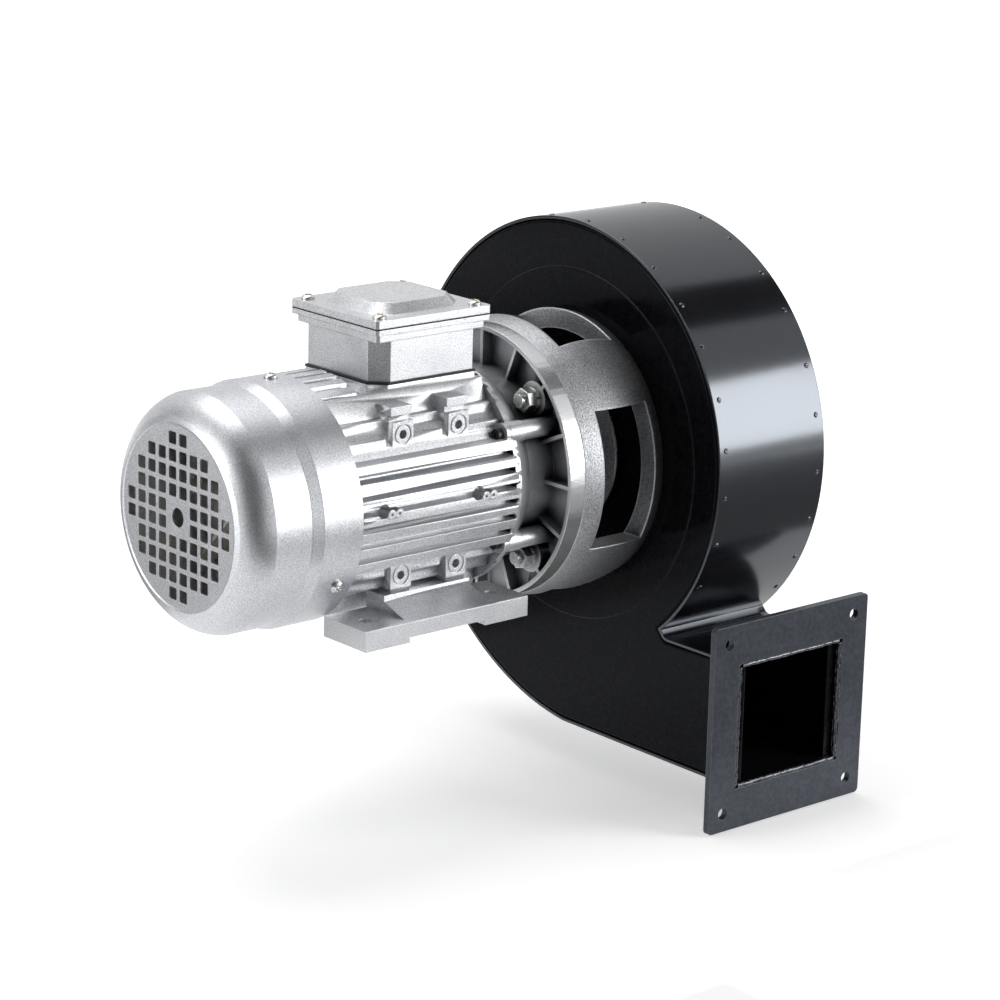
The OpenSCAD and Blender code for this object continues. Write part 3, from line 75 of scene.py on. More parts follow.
def ramp_of(tree, value, low, high, start=0.35, end=0.65):
    ramp = tree.nodes.new("ShaderNodeValToRGB")
    ramp.color_ramp.elements[0].position, ramp.color_ramp.elements[1].position = start, end
    ramp.color_ramp.elements[0].color = (*low, 1)
    ramp.color_ramp.elements[1].color = (*high, 1)
    link(tree, value, ramp.inputs["Fac"])
    return ramp.outputs["Color"]


def mixed(tree, share, a, b, blend="MIX"):
    mix = tree.nodes.new("ShaderNodeMix")
    mix.data_type, mix.blend_type = "RGBA", blend
    for socket, value in (("Factor", share), ("A", a), ("B", b)):
        spot = [i for i in mix.inputs if i.name == socket and (i.type == "RGBA" or socket == "Factor")][0]
        if isinstance(value, (int, float)):
            spot.default_value = value
        elif isinstance(value, tuple):
            spot.default_value = (*value, 1)
        else:
            link(tree, value, spot)
    return [o for o in mix.outputs if o.type == "RGBA"][0]


def finish_of(name, low, high, grain, metallic, rough, swing=0.05, bump=0.0, bump_grain=None, depth=0.0001,
              specular=0.5, tint=(1, 1, 1), edge=None, edge_size=0.0006, stain=None, hollow_shade=None):
    """A finish with grain in its colour, gloss and surface, a painted highlight along edges, faint stains and
    painted shade in hollows.
    """
    material = bpy.data.materials.new(name)
    material.use_nodes = True
    tree = material.node_tree
    shader = tree.nodes["Principled BSDF"]
    shader.inputs["Metallic"].default_value = metallic
    shader.inputs["Specular IOR Level"].default_value = specular
    shader.inputs["Specular Tint"].default_value = (*tint, 1)
    place = tree.nodes.new("ShaderNodeTexCoord").outputs["Object"]
    colour = ramp_of(tree, noise_of(tree, place, grain), low, high)
    if stain:
        patch = ramp_of(tree, noise_of(tree, place, 38, 5, 0.65), (0, 0, 0), (1, 1, 1), 0.46, 0.72)
        colour = mixed(tree, patch, colour, stain, "MULTIPLY")
    # Painted highlight: along rounded edges the colour turns to the edge tone, which in most finishes is
    # lighter than the face.
    if edge:
        soft = tree.nodes.new("ShaderNodeBevel")
        soft.samples = 4
        soft.inputs["Radius"].default_value = edge_size
        plain = tree.nodes.new("ShaderNodeNewGeometry")
        turned_by = tree.nodes.new("ShaderNodeVectorMath")
        turned_by.operation = "DOT_PRODUCT"
        link(tree, soft.outputs["Normal"], turned_by.inputs[0])
        link(tree, plain.outputs["Normal"], turned_by.inputs[1])
        edge_highlight_mask = tree.nodes.new("ShaderNodeMapRange")
        edge_highlight_mask.inputs["From Min"].default_value, edge_highlight_mask.inputs["From Max"].default_value = 0.97, 0.80
        link(tree, turned_by.outputs["Value"], edge_highlight_mask.inputs["Value"])
        colour = mixed(tree, edge_highlight_mask.outputs["Result"], colour, edge)
    # Painted shade: where ambient occlusion finds nearby surfaces, the colour is darkened towards the given
    # tone.
    if hollow_shade:
        pocket = tree.nodes.new("ShaderNodeAmbientOcclusion")
        pocket.samples = 6
        pocket.inputs["Distance"].default_value = hollow_shade[0]
        crevice_shade = ramp_of(tree, pocket.outputs["AO"], hollow_shade[1], (1, 1, 1), 0.25, 0.85)
        colour = mixed(tree, 1.0, colour, crevice_shade, "MULTIPLY")
    link(tree, colour, shader.inputs["Base Color"])
    spread = tree.nodes.new("ShaderNodeMapRange")
    spread.inputs["To Min"].default_value = rough - swing
    spread.inputs["To Max"].default_value = rough + swing
    link(tree, noise_of(tree, place, grain / 12), spread.inputs["Value"])
    link(tree, spread.outputs["Result"], shader.inputs["Roughness"])
    if bump:
        lift = tree.nodes.new("ShaderNodeBump")
        lift.inputs["Strength"].default_value = bump
        lift.inputs["Distance"].default_value = depth
        link(tree, noise_of(tree, place, bump_grain or grain, 4), lift.inputs["Height"])
        if edge:
            link(tree, soft.outputs["Normal"], lift.inputs["Normal"])
        link(tree, lift.outputs["Normal"], shader.inputs["Normal"])
    elif edge:
        link(tree, soft.outputs["Normal"], shader.inputs["Normal"])
    return material


def paint(material, *names):
    """Gives a finish to nodes of the frame."""
    for name in names:
        nodes[name].data.materials.clear()
        nodes[name].data.materials.append(material)


def alone():
    if bpy.context.object and bpy.context.object.mode != "OBJECT":
        bpy.ops.object.mode_set(mode="OBJECT")
    bpy.ops.object.select_all(action="DESELECT")


def pick(piece):
    alone()
    piece.select_set(True)
    bpy.context.view_layer.objects.active = piece


def joined(pieces):
    """Joins pieces into the first of them."""
    alone()
    for one in pieces:
        one.select_set(True)
    bpy.context.view_layer.objects.active = pieces[0]
    bpy.ops.object.join()
    return pieces[0]


def choose(kind, test):
    """In edit mode, selects only the vertices, edges or faces whose middle passes the test."""
    bpy.ops.mesh.select_mode(type={"verts": "VERT", "edges": "EDGE", "faces": "FACE"}[kind])
    bpy.ops.mesh.select_all(action="DESELECT")
    shape = bmesh.from_edit_mesh(bpy.context.object.data)
    for item in getattr(shape, kind):
        if kind == "verts":
            item.select = test(item.co, item.normal)
        elif kind == "edges":
            item.select = test((item.verts[0].co + item.verts[1].co) / 2, item.verts[1].co - item.verts[0].co)
        else:
            item.select = test(item.calc_center_median(), item.normal)
    shape.select_flush_mode()
    bmesh.update_edit_mesh(bpy.context.object.data)


def apply(piece, kind, **settings):
    pick(piece)
    step = piece.modifiers.new("step", kind)
    for key, value in settings.items():
        setattr(step, key, value)
    bpy.ops.object.modifier_apply(modifier="step")


def cut(piece, cutter):
    """Cuts one piece out of another, and takes the cutter away."""
    apply(piece, "BOOLEAN", operation="DIFFERENCE", solver="EXACT", object=cutter)
    bpy.data.objects.remove(cutter, do_unlink=True)


def done(piece, name, material, slot, body, *replaced, smooth=30):
    """Gives a finished piece its name, finish and place in the assembly."""
    pick(piece)
    bpy.ops.object.transform_apply(location=True, rotation=True, scale=True)
    bpy.ops.object.shade_smooth_by_angle(angle=math.radians(smooth))
    apply(piece, "WEIGHTED_NORMAL", keep_sharp=True, weight=100)
    piece.name = piece.data.name = name
    piece.data.materials.clear()
    piece.data.materials.append(material)
    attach(piece, body)
    if replaced:
        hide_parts(*replaced)
    return piece


def shell(name, material, slot, body="casing", smooth=28, width=0.0, sharp=40, segments=2):
    """A copy of a solid with its faces merged and its curves smoothed, which stands for it."""
    alone()
    piece = bpy.data.objects.new(name + "_shell", nodes[name].data.copy())
    bpy.context.scene.collection.objects.link(piece)
    pick(piece)
    bpy.ops.object.mode_set(mode="EDIT")
    bpy.ops.mesh.select_all(action="SELECT")
    bpy.ops.mesh.remove_doubles(threshold=0.000002)
    if width:
        bpy.ops.mesh.dissolve_limited(angle_limit=math.radians(0.5))
    bpy.ops.object.mode_set(mode="OBJECT")
    if width:
        apply(piece, "BEVEL", width=width, segments=segments, limit_method="ANGLE",
              angle_limit=math.radians(sharp), use_clamp_overlap=True)
    return done(piece, name + "_shell", material, slot, body, name, smooth=smooth)


cowl_paint = finish_of("sparkle_silver", (0.42, 0.435, 0.46), (0.80, 0.81, 0.84), 2000, 0.85, 0.36,
                       bump=0.5, bump_grain=1900, depth=0.00012, edge=(0.8, 0.8, 0.81), edge_size=0.0005)
cowl_x0, cowl_x1, cowl_r, collar_r, face_r = -0.1302, -0.05705, 0.0673, 0.0693, 0.0535
flat_r, flat_x, bend_r = face_r - 0.0022, cowl_x0 + 0.0005, 0.024
facing_x = (0, math.radians(90), 0)
alone()
bpy.ops.mesh.primitive_circle_add(vertices=144, radius=flat_r, fill_type="NGON", rotation=facing_x,
                                  location=(flat_x, 0, axis_z))
cowl = bpy.context.object
bpy.ops.object.transform_apply(location=True, rotation=True, scale=True)
shoulder = [math.radians(66 - 54 * i / 9) for i in range(1, 10)]
mid_r, mid_x = cowl_r - bend_r * math.cos(math.radians(12)), cowl_x0 + bend_r * math.sin(math.radians(66))
rings = [(face_r - 0.0016, cowl_x0 + 0.0001), (face_r - 0.0010, cowl_x0), (face_r, cowl_x0 + 0.0003)]
rings += [(mid_r + bend_r * math.cos(a), mid_x - bend_r * math.sin(a)) for a in shoulder]
rings += [(cowl_r, -0.09005), (cowl_r + 0.0003, -0.0893), (collar_r - 0.0003, -0.0838), (collar_r, -0.08305),
          (collar_r, cowl_x1)]
bpy.ops.object.mode_set(mode="EDIT")
bpy.ops.mesh.select_mode(type="EDGE")
bpy.ops.mesh.select_all(action="SELECT")
now_r, now_x = flat_r, flat_x
for ring_r, ring_x in rings:
    bpy.ops.mesh.extrude_edges_move(TRANSFORM_OT_translate={"value": (ring_x - now_x, 0, 0)})
    grow = ring_r / now_r
    bpy.ops.transform.resize(value=(1, grow, grow), center_override=(0, 0, axis_z))
    now_r, now_x = ring_r, ring_x
bpy.ops.mesh.select_all(action="SELECT")
bpy.ops.mesh.normals_make_consistent(inside=False)
bpy.ops.object.mode_set(mode="OBJECT")
apply(cowl, "SOLIDIFY", thickness=0.0012, offset=-1)
alone()
bpy.ops.mesh.primitive_cube_add(size=1, location=(cowl_x0, 0, axis_z))
punch = bpy.context.object
bpy.ops.transform.resize(value=(0.006, 0.007, 0.007))
bpy.ops.object.transform_apply(location=True, rotation=True, scale=True)
bpy.ops.object.mode_set(mode="EDIT")
choose("edges", lambda at, along: abs(along.x) > 0.005)
bpy.ops.mesh.bevel(offset=0.0009, segments=2)
bpy.ops.object.mode_set(mode="OBJECT")
punches = []
hole_pitch = 0.00967
for column in range(10):
    for row in range(10):
        across, up = column - 4.5, row - 4.5
        if 0.8 < math.hypot(across, up) < 4.6:
            one = bpy.data.objects.new("punch", punch.data.copy())
            one.data.transform(Matrix.Translation((0, across * hole_pitch, up * hole_pitch)))
            bpy.context.scene.collection.objects.link(one)
            punches.append(one)
alone()
bpy.ops.mesh.primitive_cylinder_add(vertices=40, radius=0.0054, depth=0.006, location=(cowl_x0, 0, axis_z),
                                    rotation=facing_x)
punches.append(bpy.context.object)
bpy.data.objects.remove(punch, do_unlink=True)
cut(cowl, joined(punches))
done(cowl, "pressed_cowl", cowl_paint, "cowl_paint", "casing", "fan_cowl", smooth=11)
zinc = finish_of("zinc_plate", (0.50, 0.51, 0.50), (0.78, 0.78, 0.77), 900, 1.0, 0.28, swing=0.08, bump=0.2,
                 bump_grain=600, depth=0.00005, edge=(0.9, 0.9, 0.88), edge_size=0.0003)
shell("cowl_screws", zinc, "zinc", width=0.0002)

# Cooling fan: one moulded plastic wheel with flat blades, clamped on the shaft by a circlip
# behind the cowl, where the air holes show it.
fan_plastic = finish_of("cream_plastic", (0.80, 0.78, 0.71), (0.88, 0.86, 0.80), 500, 0.0, 0.45, bump=0.1,
                        bump_grain=300, edge=(0.62, 0.6, 0.55), edge_size=0.0004)
shell("cooling_fan", fan_plastic, "black_plastic", body="rotor")
steel = finish_of("turned_steel", (0.42, 0.42, 0.43), (0.6, 0.6, 0.61), 600, 1.0, 0.30, bump=0.15,
                  bump_grain=900, depth=0.00004, edge=(0.75, 0.75, 0.75), edge_size=0.0003)
shell("fan_circlip", steel, "steel", body="rotor")

# Rear endshield and its bearing: a cast aluminium shield, painted with the housing, whose
# screws run into lugs inside the housing. The bearing sits in its blind seat.
cast_paint = finish_of("silver_cast", (0.50, 0.51, 0.53), (0.84, 0.85, 0.87), 1500, 0.70, 0.38, bump=0.7,
                       bump_grain=1300, depth=0.00018, edge=(0.86, 0.86, 0.87), edge_size=0.0007,
                       stain=(0.86, 0.87, 0.89))
shell("rear_endshield", cast_paint, "cast_paint")
ground = finish_of("ground_steel", (0.55, 0.55, 0.56), (0.7, 0.7, 0.71), 700, 1.0, 0.18, bump=0.1,
                   bump_grain=900, depth=0.00003, edge=(0.85, 0.85, 0.85), edge_size=0.0003)
for name in ("rear_bearing_outer", "wave_spring"):
    shell(name, ground, "bearing_steel" if "bearing" in name else "steel")
for name in ("rear_bearing_balls", "rear_bearing_inner"):
    shell(name, ground, "bearing_steel", body="rotor")
paint(zinc, "rear_shield_screws")

# Stator housing: a die cast aluminium body with level cooling fins, square bosses for side
# feet, and a seat for the terminal box, painted silver all over.
shell("stator_housing", cast_paint, "cast_paint", smooth=24)

# Stator and rotor cores and windings: stacked laminations with enamelled copper end turns,
# pressed into the housing and on the shaft.
laminations = finish_of("laminations", (0.14, 0.14, 0.15), (0.25, 0.25, 0.26), 500, 0.9, 0.5, bump=0.2,
                        edge=(0.35, 0.35, 0.36), edge_size=0.0003)
paint(laminations, "stator_core", "rotor_core")
copper = finish_of("enamelled_copper", (0.42, 0.16, 0.06), (0.65, 0.30, 0.14), 700, 0.9, 0.35, bump=0.4,
                   edge=(0.75, 0.4, 0.2), edge_size=0.0003)
paint(copper, "windings")

# Shaft: one turned steel bar with a key for the impeller. Both bearings carry it, and the
# rotor core is pressed on between them.
shell("shaft", steel, "steel", body="rotor")
paint(steel, "impeller_key")

# Flange endshield: a cast aluminium bell with a ribbed pocket behind its large machined
# flange. Four screws hold it to the housing, and it carries the front bearing and the seal.
# Painted shade: this finish darkens almost to black in its hollows, so the ribbed pocket behind the flange
# renders dark.
shield_cast = finish_of("shield_cast", (0.60, 0.61, 0.625), (0.76, 0.77, 0.785), 1500, 0.80, 0.40, bump=0.45,
                        bump_grain=1300, depth=0.00012, edge=(0.86, 0.86, 0.87), edge_size=0.0007,
                        stain=(0.86, 0.87, 0.89), hollow_shade=(0.018, (0.03, 0.034, 0.045)))
rim_r = 0.0796


def machine_rim(material, radius, bright, gloss):
    """Outside a radius from the shaft, a casting's surface is turned bright."""
    tree = material.node_tree
    shader = tree.nodes["Principled BSDF"]
    off_axis = tree.nodes.new("ShaderNodeVectorMath")
    off_axis.operation = "SUBTRACT"
    link(tree, tree.nodes.new("ShaderNodeTexCoord").outputs["Object"], off_axis.inputs[0])
    off_axis.inputs[1].default_value = (0, 0, axis_z)
    flat = tree.nodes.new("ShaderNodeVectorMath")
    flat.operation = "MULTIPLY"
    link(tree, off_axis.outputs["Vector"], flat.inputs[0])
    flat.inputs[1].default_value = (0, 1, 1)
    reach = tree.nodes.new("ShaderNodeVectorMath")
    reach.operation = "LENGTH"
    link(tree, flat.outputs["Vector"], reach.inputs[0])
    outside = tree.nodes.new("ShaderNodeMath")
    outside.operation = "GREATER_THAN"
    outside.inputs[1].default_value = radius
    link(tree, reach.outputs["Value"], outside.inputs[0])
    colour = shader.inputs["Base Color"].links[0].from_socket
    link(tree, mixed(tree, outside.outputs["Value"], colour, bright), shader.inputs["Base Color"])
    rough = shader.inputs["Roughness"].links[0].from_socket
    choice = tree.nodes.new("ShaderNodeMix")
    link(tree, outside.outputs["Value"], choice.inputs["Factor"])
    link(tree, rough, choice.inputs["A"])
    choice.inputs["B"].default_value = gloss
    link(tree, choice.outputs["Result"], shader.inputs["Roughness"])


machine_rim(shield_cast, rim_r, (0.78, 0.79, 0.80), 0.2)
shell("flange_endshield", shield_cast, "cast_paint", smooth=24)
shell("front_bearing_outer", ground, "bearing_steel")
for name in ("front_bearing_balls", "front_bearing_inner"):
    shell(name, ground, "bearing_steel", body="rotor")
rubber = finish_of("black_rubber", (0.010, 0.010, 0.010), (0.022, 0.022, 0.022), 500, 0.0, 0.6, bump=0.3,
                   bump_grain=500, edge=(0.05, 0.045, 0.035), edge_size=0.0004)
shell("shaft_seal", rubber, "black_rubber")
black_screw = finish_of("black_oxide", (0.025, 0.025, 0.027), (0.06, 0.06, 0.06), 700, 0.6, 0.35, bump=0.2,
                        edge=(0.25, 0.25, 0.25), edge_size=0.0003)
shell("front_shield_screws", black_screw, "zinc")

# Feet: two cast rails with a sloping web, painted with the housing. Bolts hold each top plate
# under the housing's bosses.
for name in ("left_foot", "right_foot"):
    shell(name, cast_paint, "cast_paint")
shell("foot_bolts", zinc, "zinc")

# Lantern: a raw sand casting with four windows that joins the motor flange to the volute.
# Studs with nuts and spring washers clamp the motor to it.
# Painted highlight and painted shade: the window edges turn almost white over a wide band, and the hollows
# darken.
raw_cast = finish_of("raw_cast", (0.26, 0.265, 0.28), (0.60, 0.61, 0.625), 1300, 0.75, 0.42, swing=0.08,
                     bump=0.9, bump_grain=1100, depth=0.00025, edge=(0.92, 0.93, 0.94), edge_size=0.0016,
                     stain=(0.80, 0.81, 0.83), hollow_shade=(0.02, (0.10, 0.10, 0.11)))
shell("lantern", raw_cast, "raw_cast")
shell("flange_studs", zinc, "zinc", width=0.0003)
shell("flange_nuts", zinc, "zinc", width=0.0004, sharp=20)
shell("spring_washers", zinc, "zinc", width=0.0002)

# Cooling disc: a cast disc on the shaft inside the lantern that keeps the heat of the air
# stream from the bearing. A set screw holds it.
shell("cooling_disc", raw_cast, "raw_cast", body="rotor")
paint(steel, "disc_set_screw")

# Volute: a rolled sheet steel wrap between two side plates, spot welded through lips folded
# inside it and sprayed gloss black. The near plate has a pressed land around the lantern.
# Painted reflection colour: the blue specular tint of the black paints colours every reflection on them blue.
gloss_black = finish_of("gloss_black", (0.005, 0.005, 0.007), (0.008, 0.008, 0.010), 260, 0.0, 0.16, swing=0.02,
                        bump=0.10, bump_grain=70, depth=0.0003, specular=1.0, tint=(0.84, 0.91, 1.0),
                        edge=(0.05, 0.05, 0.055), edge_size=0.0006)
# Painted shade: the side plates carry the same gloss black paint as the wrap, but take a copy with a darker
# colour and almost no reflection, so they render darker.
shaded_plate_black = finish_of("shaded_plate_black", (0.003, 0.003, 0.004), (0.006, 0.006, 0.007), 260, 0.0, 0.16, swing=0.03,
                        bump=0.08, bump_grain=80, depth=0.0002, specular=0.08, tint=(0.84, 0.91, 1.0),
                        edge=(0.06, 0.06, 0.065), edge_size=0.0006)
near_x, far_x, sheet, lip_depth = 0.1534, 0.2374, 0.002, 0.008
duct_y, floor_z, roof_z = -0.1475, axis_z - 0.173854, axis_z - 0.098954


def scroll(angle):
    """Radius of the wrap at an angle in degrees from the outlet's side towards the top."""
    return 0.1264 + 0.0087 * (0.4 * angle / 100 + 0.6 * (angle / 100) ** 2)


def on_scroll(angle, out=0.0):
    r = scroll(angle) + out
    return -r * math.cos(math.radians(angle)), axis_z + r * math.sin(math.radians(angle))


# The wrap starts as its flat floor, and its free edge is drawn round the scroll to the roof
alone()
bpy.ops.mesh.primitive_plane_add(size=1, location=((near_x + far_x) / 2, duct_y / 2, floor_z))
wrap = bpy.context.object
bpy.ops.transform.resize(value=(far_x - near_x, -duct_y, 1))
bpy.ops.object.transform_apply(location=True, rotation=True, scale=True)
bpy.ops.object.mode_set(mode="EDIT")
choose("edges", lambda at, along: abs(at.y) < 0.0001)
path = [on_scroll(270 - 2.2 * i) for i in range(1, 145)] + [on_scroll(-49)]
tip_y = path[-1][0]
path += [(tip_y - 0.0012, path[-1][1] - 0.0013), (tip_y - 0.0028, roof_z + 0.0008), (tip_y - 0.005, roof_z),
         (duct_y, roof_z)]
here = (0.0, floor_z)
for y, z in path:
    bpy.ops.mesh.extrude_edges_move(TRANSFORM_OT_translate={"value": (0, y - here[0], z - here[1])})
    here = (y, z)
bpy.ops.object.mode_set(mode="OBJECT")
side = wrap.copy()
side.data = wrap.data.copy()
bpy.context.scene.collection.objects.link(side)
pick(wrap)
bpy.ops.object.mode_set(mode="EDIT")
bpy.ops.mesh.select_all(action="SELECT")
bpy.ops.mesh.normals_make_consistent(inside=False)
shape = bmesh.from_edit_mesh(wrap.data)
low = min(shape.faces, key=lambda f: f.calc_center_median().z)
if low.normal.z > 0:
    bpy.ops.mesh.flip_normals()
bpy.ops.object.mode_set(mode="OBJECT")
apply(wrap, "SOLIDIFY", thickness=sheet, offset=-1, use_even_offset=True)
apply(wrap, "BEVEL", width=0.0004, segments=2, limit_method="ANGLE", angle_limit=math.radians(60))

# The side plates are cut to the scroll, a little inside the wrap, and their rims are folded in
pick(side)
bpy.ops.object.mode_set(mode="EDIT")
choose("verts", lambda at, normal: at.x > near_x + 0.001)
bpy.ops.mesh.delete(type="VERT")
bpy.ops.mesh.select_all(action="SELECT")
bpy.ops.mesh.edge_face_add()
choose("faces", lambda at, normal: True)
bpy.ops.mesh.inset(thickness=0.00235, use_even_offset=True)
bpy.ops.mesh.select_all(action="INVERT")
bpy.ops.mesh.delete(type="FACE")
bpy.ops.object.mode_set(mode="OBJECT")
far_side = side.copy()
far_side.data = side.data.copy()
bpy.context.scene.collection.objects.link(far_side)
far_side.data.transform(Matrix.Translation((far_x - near_x, 0, 0)))
for plate, inwards, name in ((side, 1, "near"), (far_side, -1, "far")):
    pick(plate)
    bpy.ops.object.mode_set(mode="EDIT")
    bpy.ops.mesh.select_all(action="SELECT")
    bpy.ops.mesh.extrude_region_move(TRANSFORM_OT_translate={"value": (lip_depth * inwards, 0, 0)})
    bpy.ops.mesh.select_all(action="SELECT")
    bpy.ops.mesh.normals_make_consistent(inside=False)
    choose("faces", lambda at, normal: normal.x * inwards > 0.9)
    bpy.ops.mesh.delete(type="FACE")
    outer = near_x if inwards > 0 else far_x
    choose("edges", lambda at, along: abs(at.x - outer) < 0.0001)
    bpy.ops.mesh.bevel(offset=0.0018, segments=4, clamp_overlap=False)
    bpy.ops.object.mode_set(mode="OBJECT")
    apply(plate, "SOLIDIFY", thickness=0.0018, offset=-1)

# The pressed land is a low disc on the near plate, with a rounded edge
alone()
bpy.ops.mesh.primitive_circle_add(vertices=160, radius=0.1055, fill_type="NGON", rotation=facing_x,
                                  location=(near_x + 0.0005, 0, axis_z))
land = bpy.context.object
bpy.ops.object.transform_apply(location=True, rotation=True, scale=True)
bpy.ops.object.mode_set(mode="EDIT")
bpy.ops.mesh.select_all(action="SELECT")
bpy.ops.mesh.extrude_region_move(TRANSFORM_OT_translate={"value": (-0.0013, 0, 0)})
bpy.ops.mesh.select_all(action="SELECT")
bpy.ops.mesh.normals_make_consistent(inside=False)
choose("edges", lambda at, along: at.x < near_x - 0.0005)
bpy.ops.mesh.bevel(offset=0.0006, segments=2)
bpy.ops.object.mode_set(mode="OBJECT")
for plate, x, hole in ((side, near_x, 0.012), (land, near_x, 0.012), (far_side, far_x, 0.064)):
    alone()
    bpy.ops.mesh.primitive_cylinder_add(vertices=64, radius=hole, depth=0.03, location=(x, 0, axis_z),
                                        rotation=facing_x)
    cut(plate, bpy.context.object)
joined([side, land])
done(wrap, "rolled_wrap", gloss_black, "gloss_black", "casing", "scroll_wrap", smooth=50)
done(side, "near_side_plate", shaded_plate_black, "gloss_black", "casing", "near_plate", smooth=35)
done(far_side, "far_side_plate", shaded_plate_black, "gloss_black", "casing", "far_plate", smooth=35)

# Spot welds: low round bumps along both rims of the wrap, where the machine pressed it on the
# plates' folded lips, sprayed black with the sheet.
alone()
bpy.ops.mesh.primitive_circle_add(vertices=16, radius=0.0017, fill_type="NGON")
weld = bpy.context.object
bpy.ops.object.mode_set(mode="EDIT")
bpy.ops.mesh.select_all(action="SELECT")
bpy.ops.mesh.inset(thickness=0.0005)
bpy.ops.transform.translate(value=(0, 0, 0.0005))
bpy.ops.mesh.inset(thickness=0.0004)
bpy.ops.transform.translate(value=(0, 0, 0.0001))
bpy.ops.mesh.inset(thickness=0.0004)
bpy.ops.transform.translate(value=(0, 0, -0.0003))
bpy.ops.object.mode_set(mode="OBJECT")
marks = []
near_row = (88.5, 75.2, 62.1, 49.0, 36.7, 22.5, 9.3, -3.3, -16.6, -30.5)
far_row = (80.9, 69.0, 55.1, 42.9, 27.2, 14.1, -1.1, -14.7, -27.0, -38.8)
for x, row in ((near_x + 0.0049, near_row), (far_x - 0.0055, far_row)):
    for angle in row + tuple(102 + 13.2 * i for i in range(13)):
        one = bpy.data.objects.new("weld", weld.data.copy())
        y, z = on_scroll(angle, -0.00002)
        a, b = on_scroll(angle + 0.5), on_scroll(angle - 0.5)
        along = Vector((0, b[0] - a[0], b[1] - a[1])).normalized()
        out = Vector((1, 0, 0)).cross(along)
        if out.dot(Vector((0, y, z - axis_z))) < 0:
            out = -out
        one.data.transform(Matrix.Translation((x, y, z)) @ Matrix(
            (along, out.cross(along), out)).transposed().to_4x4())
        bpy.context.scene.collection.objects.link(one)
        marks.append(one)
bpy.data.objects.remove(weld, do_unlink=True)
done(joined(marks), "spot_welds", gloss_black, "gloss_black", "casing", smooth=60)
shell("volute_screws", zinc, "zinc")

# Outlet flange: a square frame cut from plate, with rounded corners and four holes, welded to
# the duct all round and painted satin black.
# Painted reflection colour: the blue specular tint, as on the gloss black.
satin_black = finish_of("satin_black", (0.030, 0.034, 0.043), (0.052, 0.058, 0.072), 420, 0.2, 0.36, swing=0.06,
                        bump=0.30, bump_grain=420, depth=0.0001, specular=0.6, tint=(0.84, 0.91, 1.0),
                        edge=(0.22, 0.23, 0.25), edge_size=0.0006, stain=(0.7, 0.7, 0.72))
outlet_x, outlet_z, face_y = (near_x + far_x) / 2, (floor_z + roof_z) / 2, -0.1485
flange_size, flange_t, half_pitch = 0.1235, 0.004, 0.05065
alone()
bpy.ops.mesh.primitive_cube_add(size=1, location=(outlet_x, face_y + 0.002, outlet_z))
flange = bpy.context.object
bpy.ops.transform.resize(value=(flange_size, flange_t, flange_size))
bpy.ops.object.transform_apply(location=True, rotation=True, scale=True)
bpy.ops.object.mode_set(mode="EDIT")
choose("edges", lambda at, along: abs(along.y) > 0.003)
bpy.ops.mesh.bevel(offset=0.0028, segments=5)
bpy.ops.object.mode_set(mode="OBJECT")
alone()
bpy.ops.mesh.primitive_cube_add(size=1, location=(outlet_x, face_y, outlet_z))
mouth = bpy.context.object
bpy.ops.transform.resize(value=(0.0841, 0.02, 0.0750))
for i in (-1, 1):
    for j in (-1, 1):
        bpy.ops.mesh.primitive_cylinder_add(
            vertices=32, radius=0.0035, depth=0.02, rotation=(math.radians(90), 0, 0),
            location=(outlet_x + i * half_pitch, face_y, outlet_z + j * half_pitch))
        joined([mouth, bpy.context.object])
cut(flange, mouth)
apply(flange, "BEVEL", width=0.0004, segments=2, limit_method="ANGLE", angle_limit=math.radians(60))
done(flange, "square_flange", satin_black, "satin_black", "casing", "outlet_flange")

# Weld beads: uneven fillets of steel where the duct meets the flange, behind it and inside
# the mouth, laid by hand and painted over.
# Painted highlight: the bead edges turn light grey, far lighter than the black paint.
weld_black = finish_of("weld_black", (0.03, 0.032, 0.038), (0.09, 0.095, 0.11), 700, 0.5, 0.18, swing=0.08,
                       bump=0.5, bump_grain=500, depth=0.0002, specular=1.0, edge=(0.7, 0.72, 0.75),
                       edge_size=0.0006)
bead_noise = bpy.data.textures.new("bead", "CLOUDS")
bead_noise.noise_scale, bead_noise.noise_depth = 0.0035, 1
beads = []
inside_y, behind_y = face_y + 0.0011, face_y + 0.0046
half_w, half_h = 0.042, 0.03745
for x, z, length, level_run, y, size in (
        (outlet_x, outlet_z + half_h + 0.0004, 0.082, True, behind_y, 0.0016),
        (outlet_x, outlet_z - half_h - 0.0004, 0.082, True, behind_y, 0.0016),
        (outlet_x - half_w - 0.0004, outlet_z, 0.073, False, behind_y, 0.0016),
        (outlet_x + half_w + 0.0004, outlet_z, 0.073, False, behind_y, 0.0016),
        (outlet_x, outlet_z + half_h - 0.0012, 0.078, True, inside_y, 0.0014),
        (outlet_x, outlet_z - half_h + 0.0012, 0.078, True, inside_y, 0.0014),
        (outlet_x - half_w + 0.0012, outlet_z, 0.070, False, inside_y, 0.0014),
        (outlet_x + half_w - 0.0012, outlet_z, 0.070, False, inside_y, 0.0014)):
    alone()
    bpy.ops.mesh.primitive_cylinder_add(vertices=10, radius=size, depth=length, location=(x, y, z),
                                        rotation=facing_x if level_run else (0, 0, 0))
    bead = bpy.context.object
    bpy.ops.object.transform_apply(location=True, rotation=True, scale=True)
    bpy.ops.object.mode_set(mode="EDIT")
    choose("edges", lambda at, along: along.length > 0.01)
    bpy.ops.mesh.subdivide(number_cuts=60)
    bpy.ops.object.mode_set(mode="OBJECT")
    apply(bead, "DISPLACE", texture=bead_noise, texture_coords="GLOBAL", strength=size * 0.9, mid_level=0.5)
    beads.append(bead)
done(joined(beads), "weld_beads", weld_black, "satin_black", "casing", smooth=60)

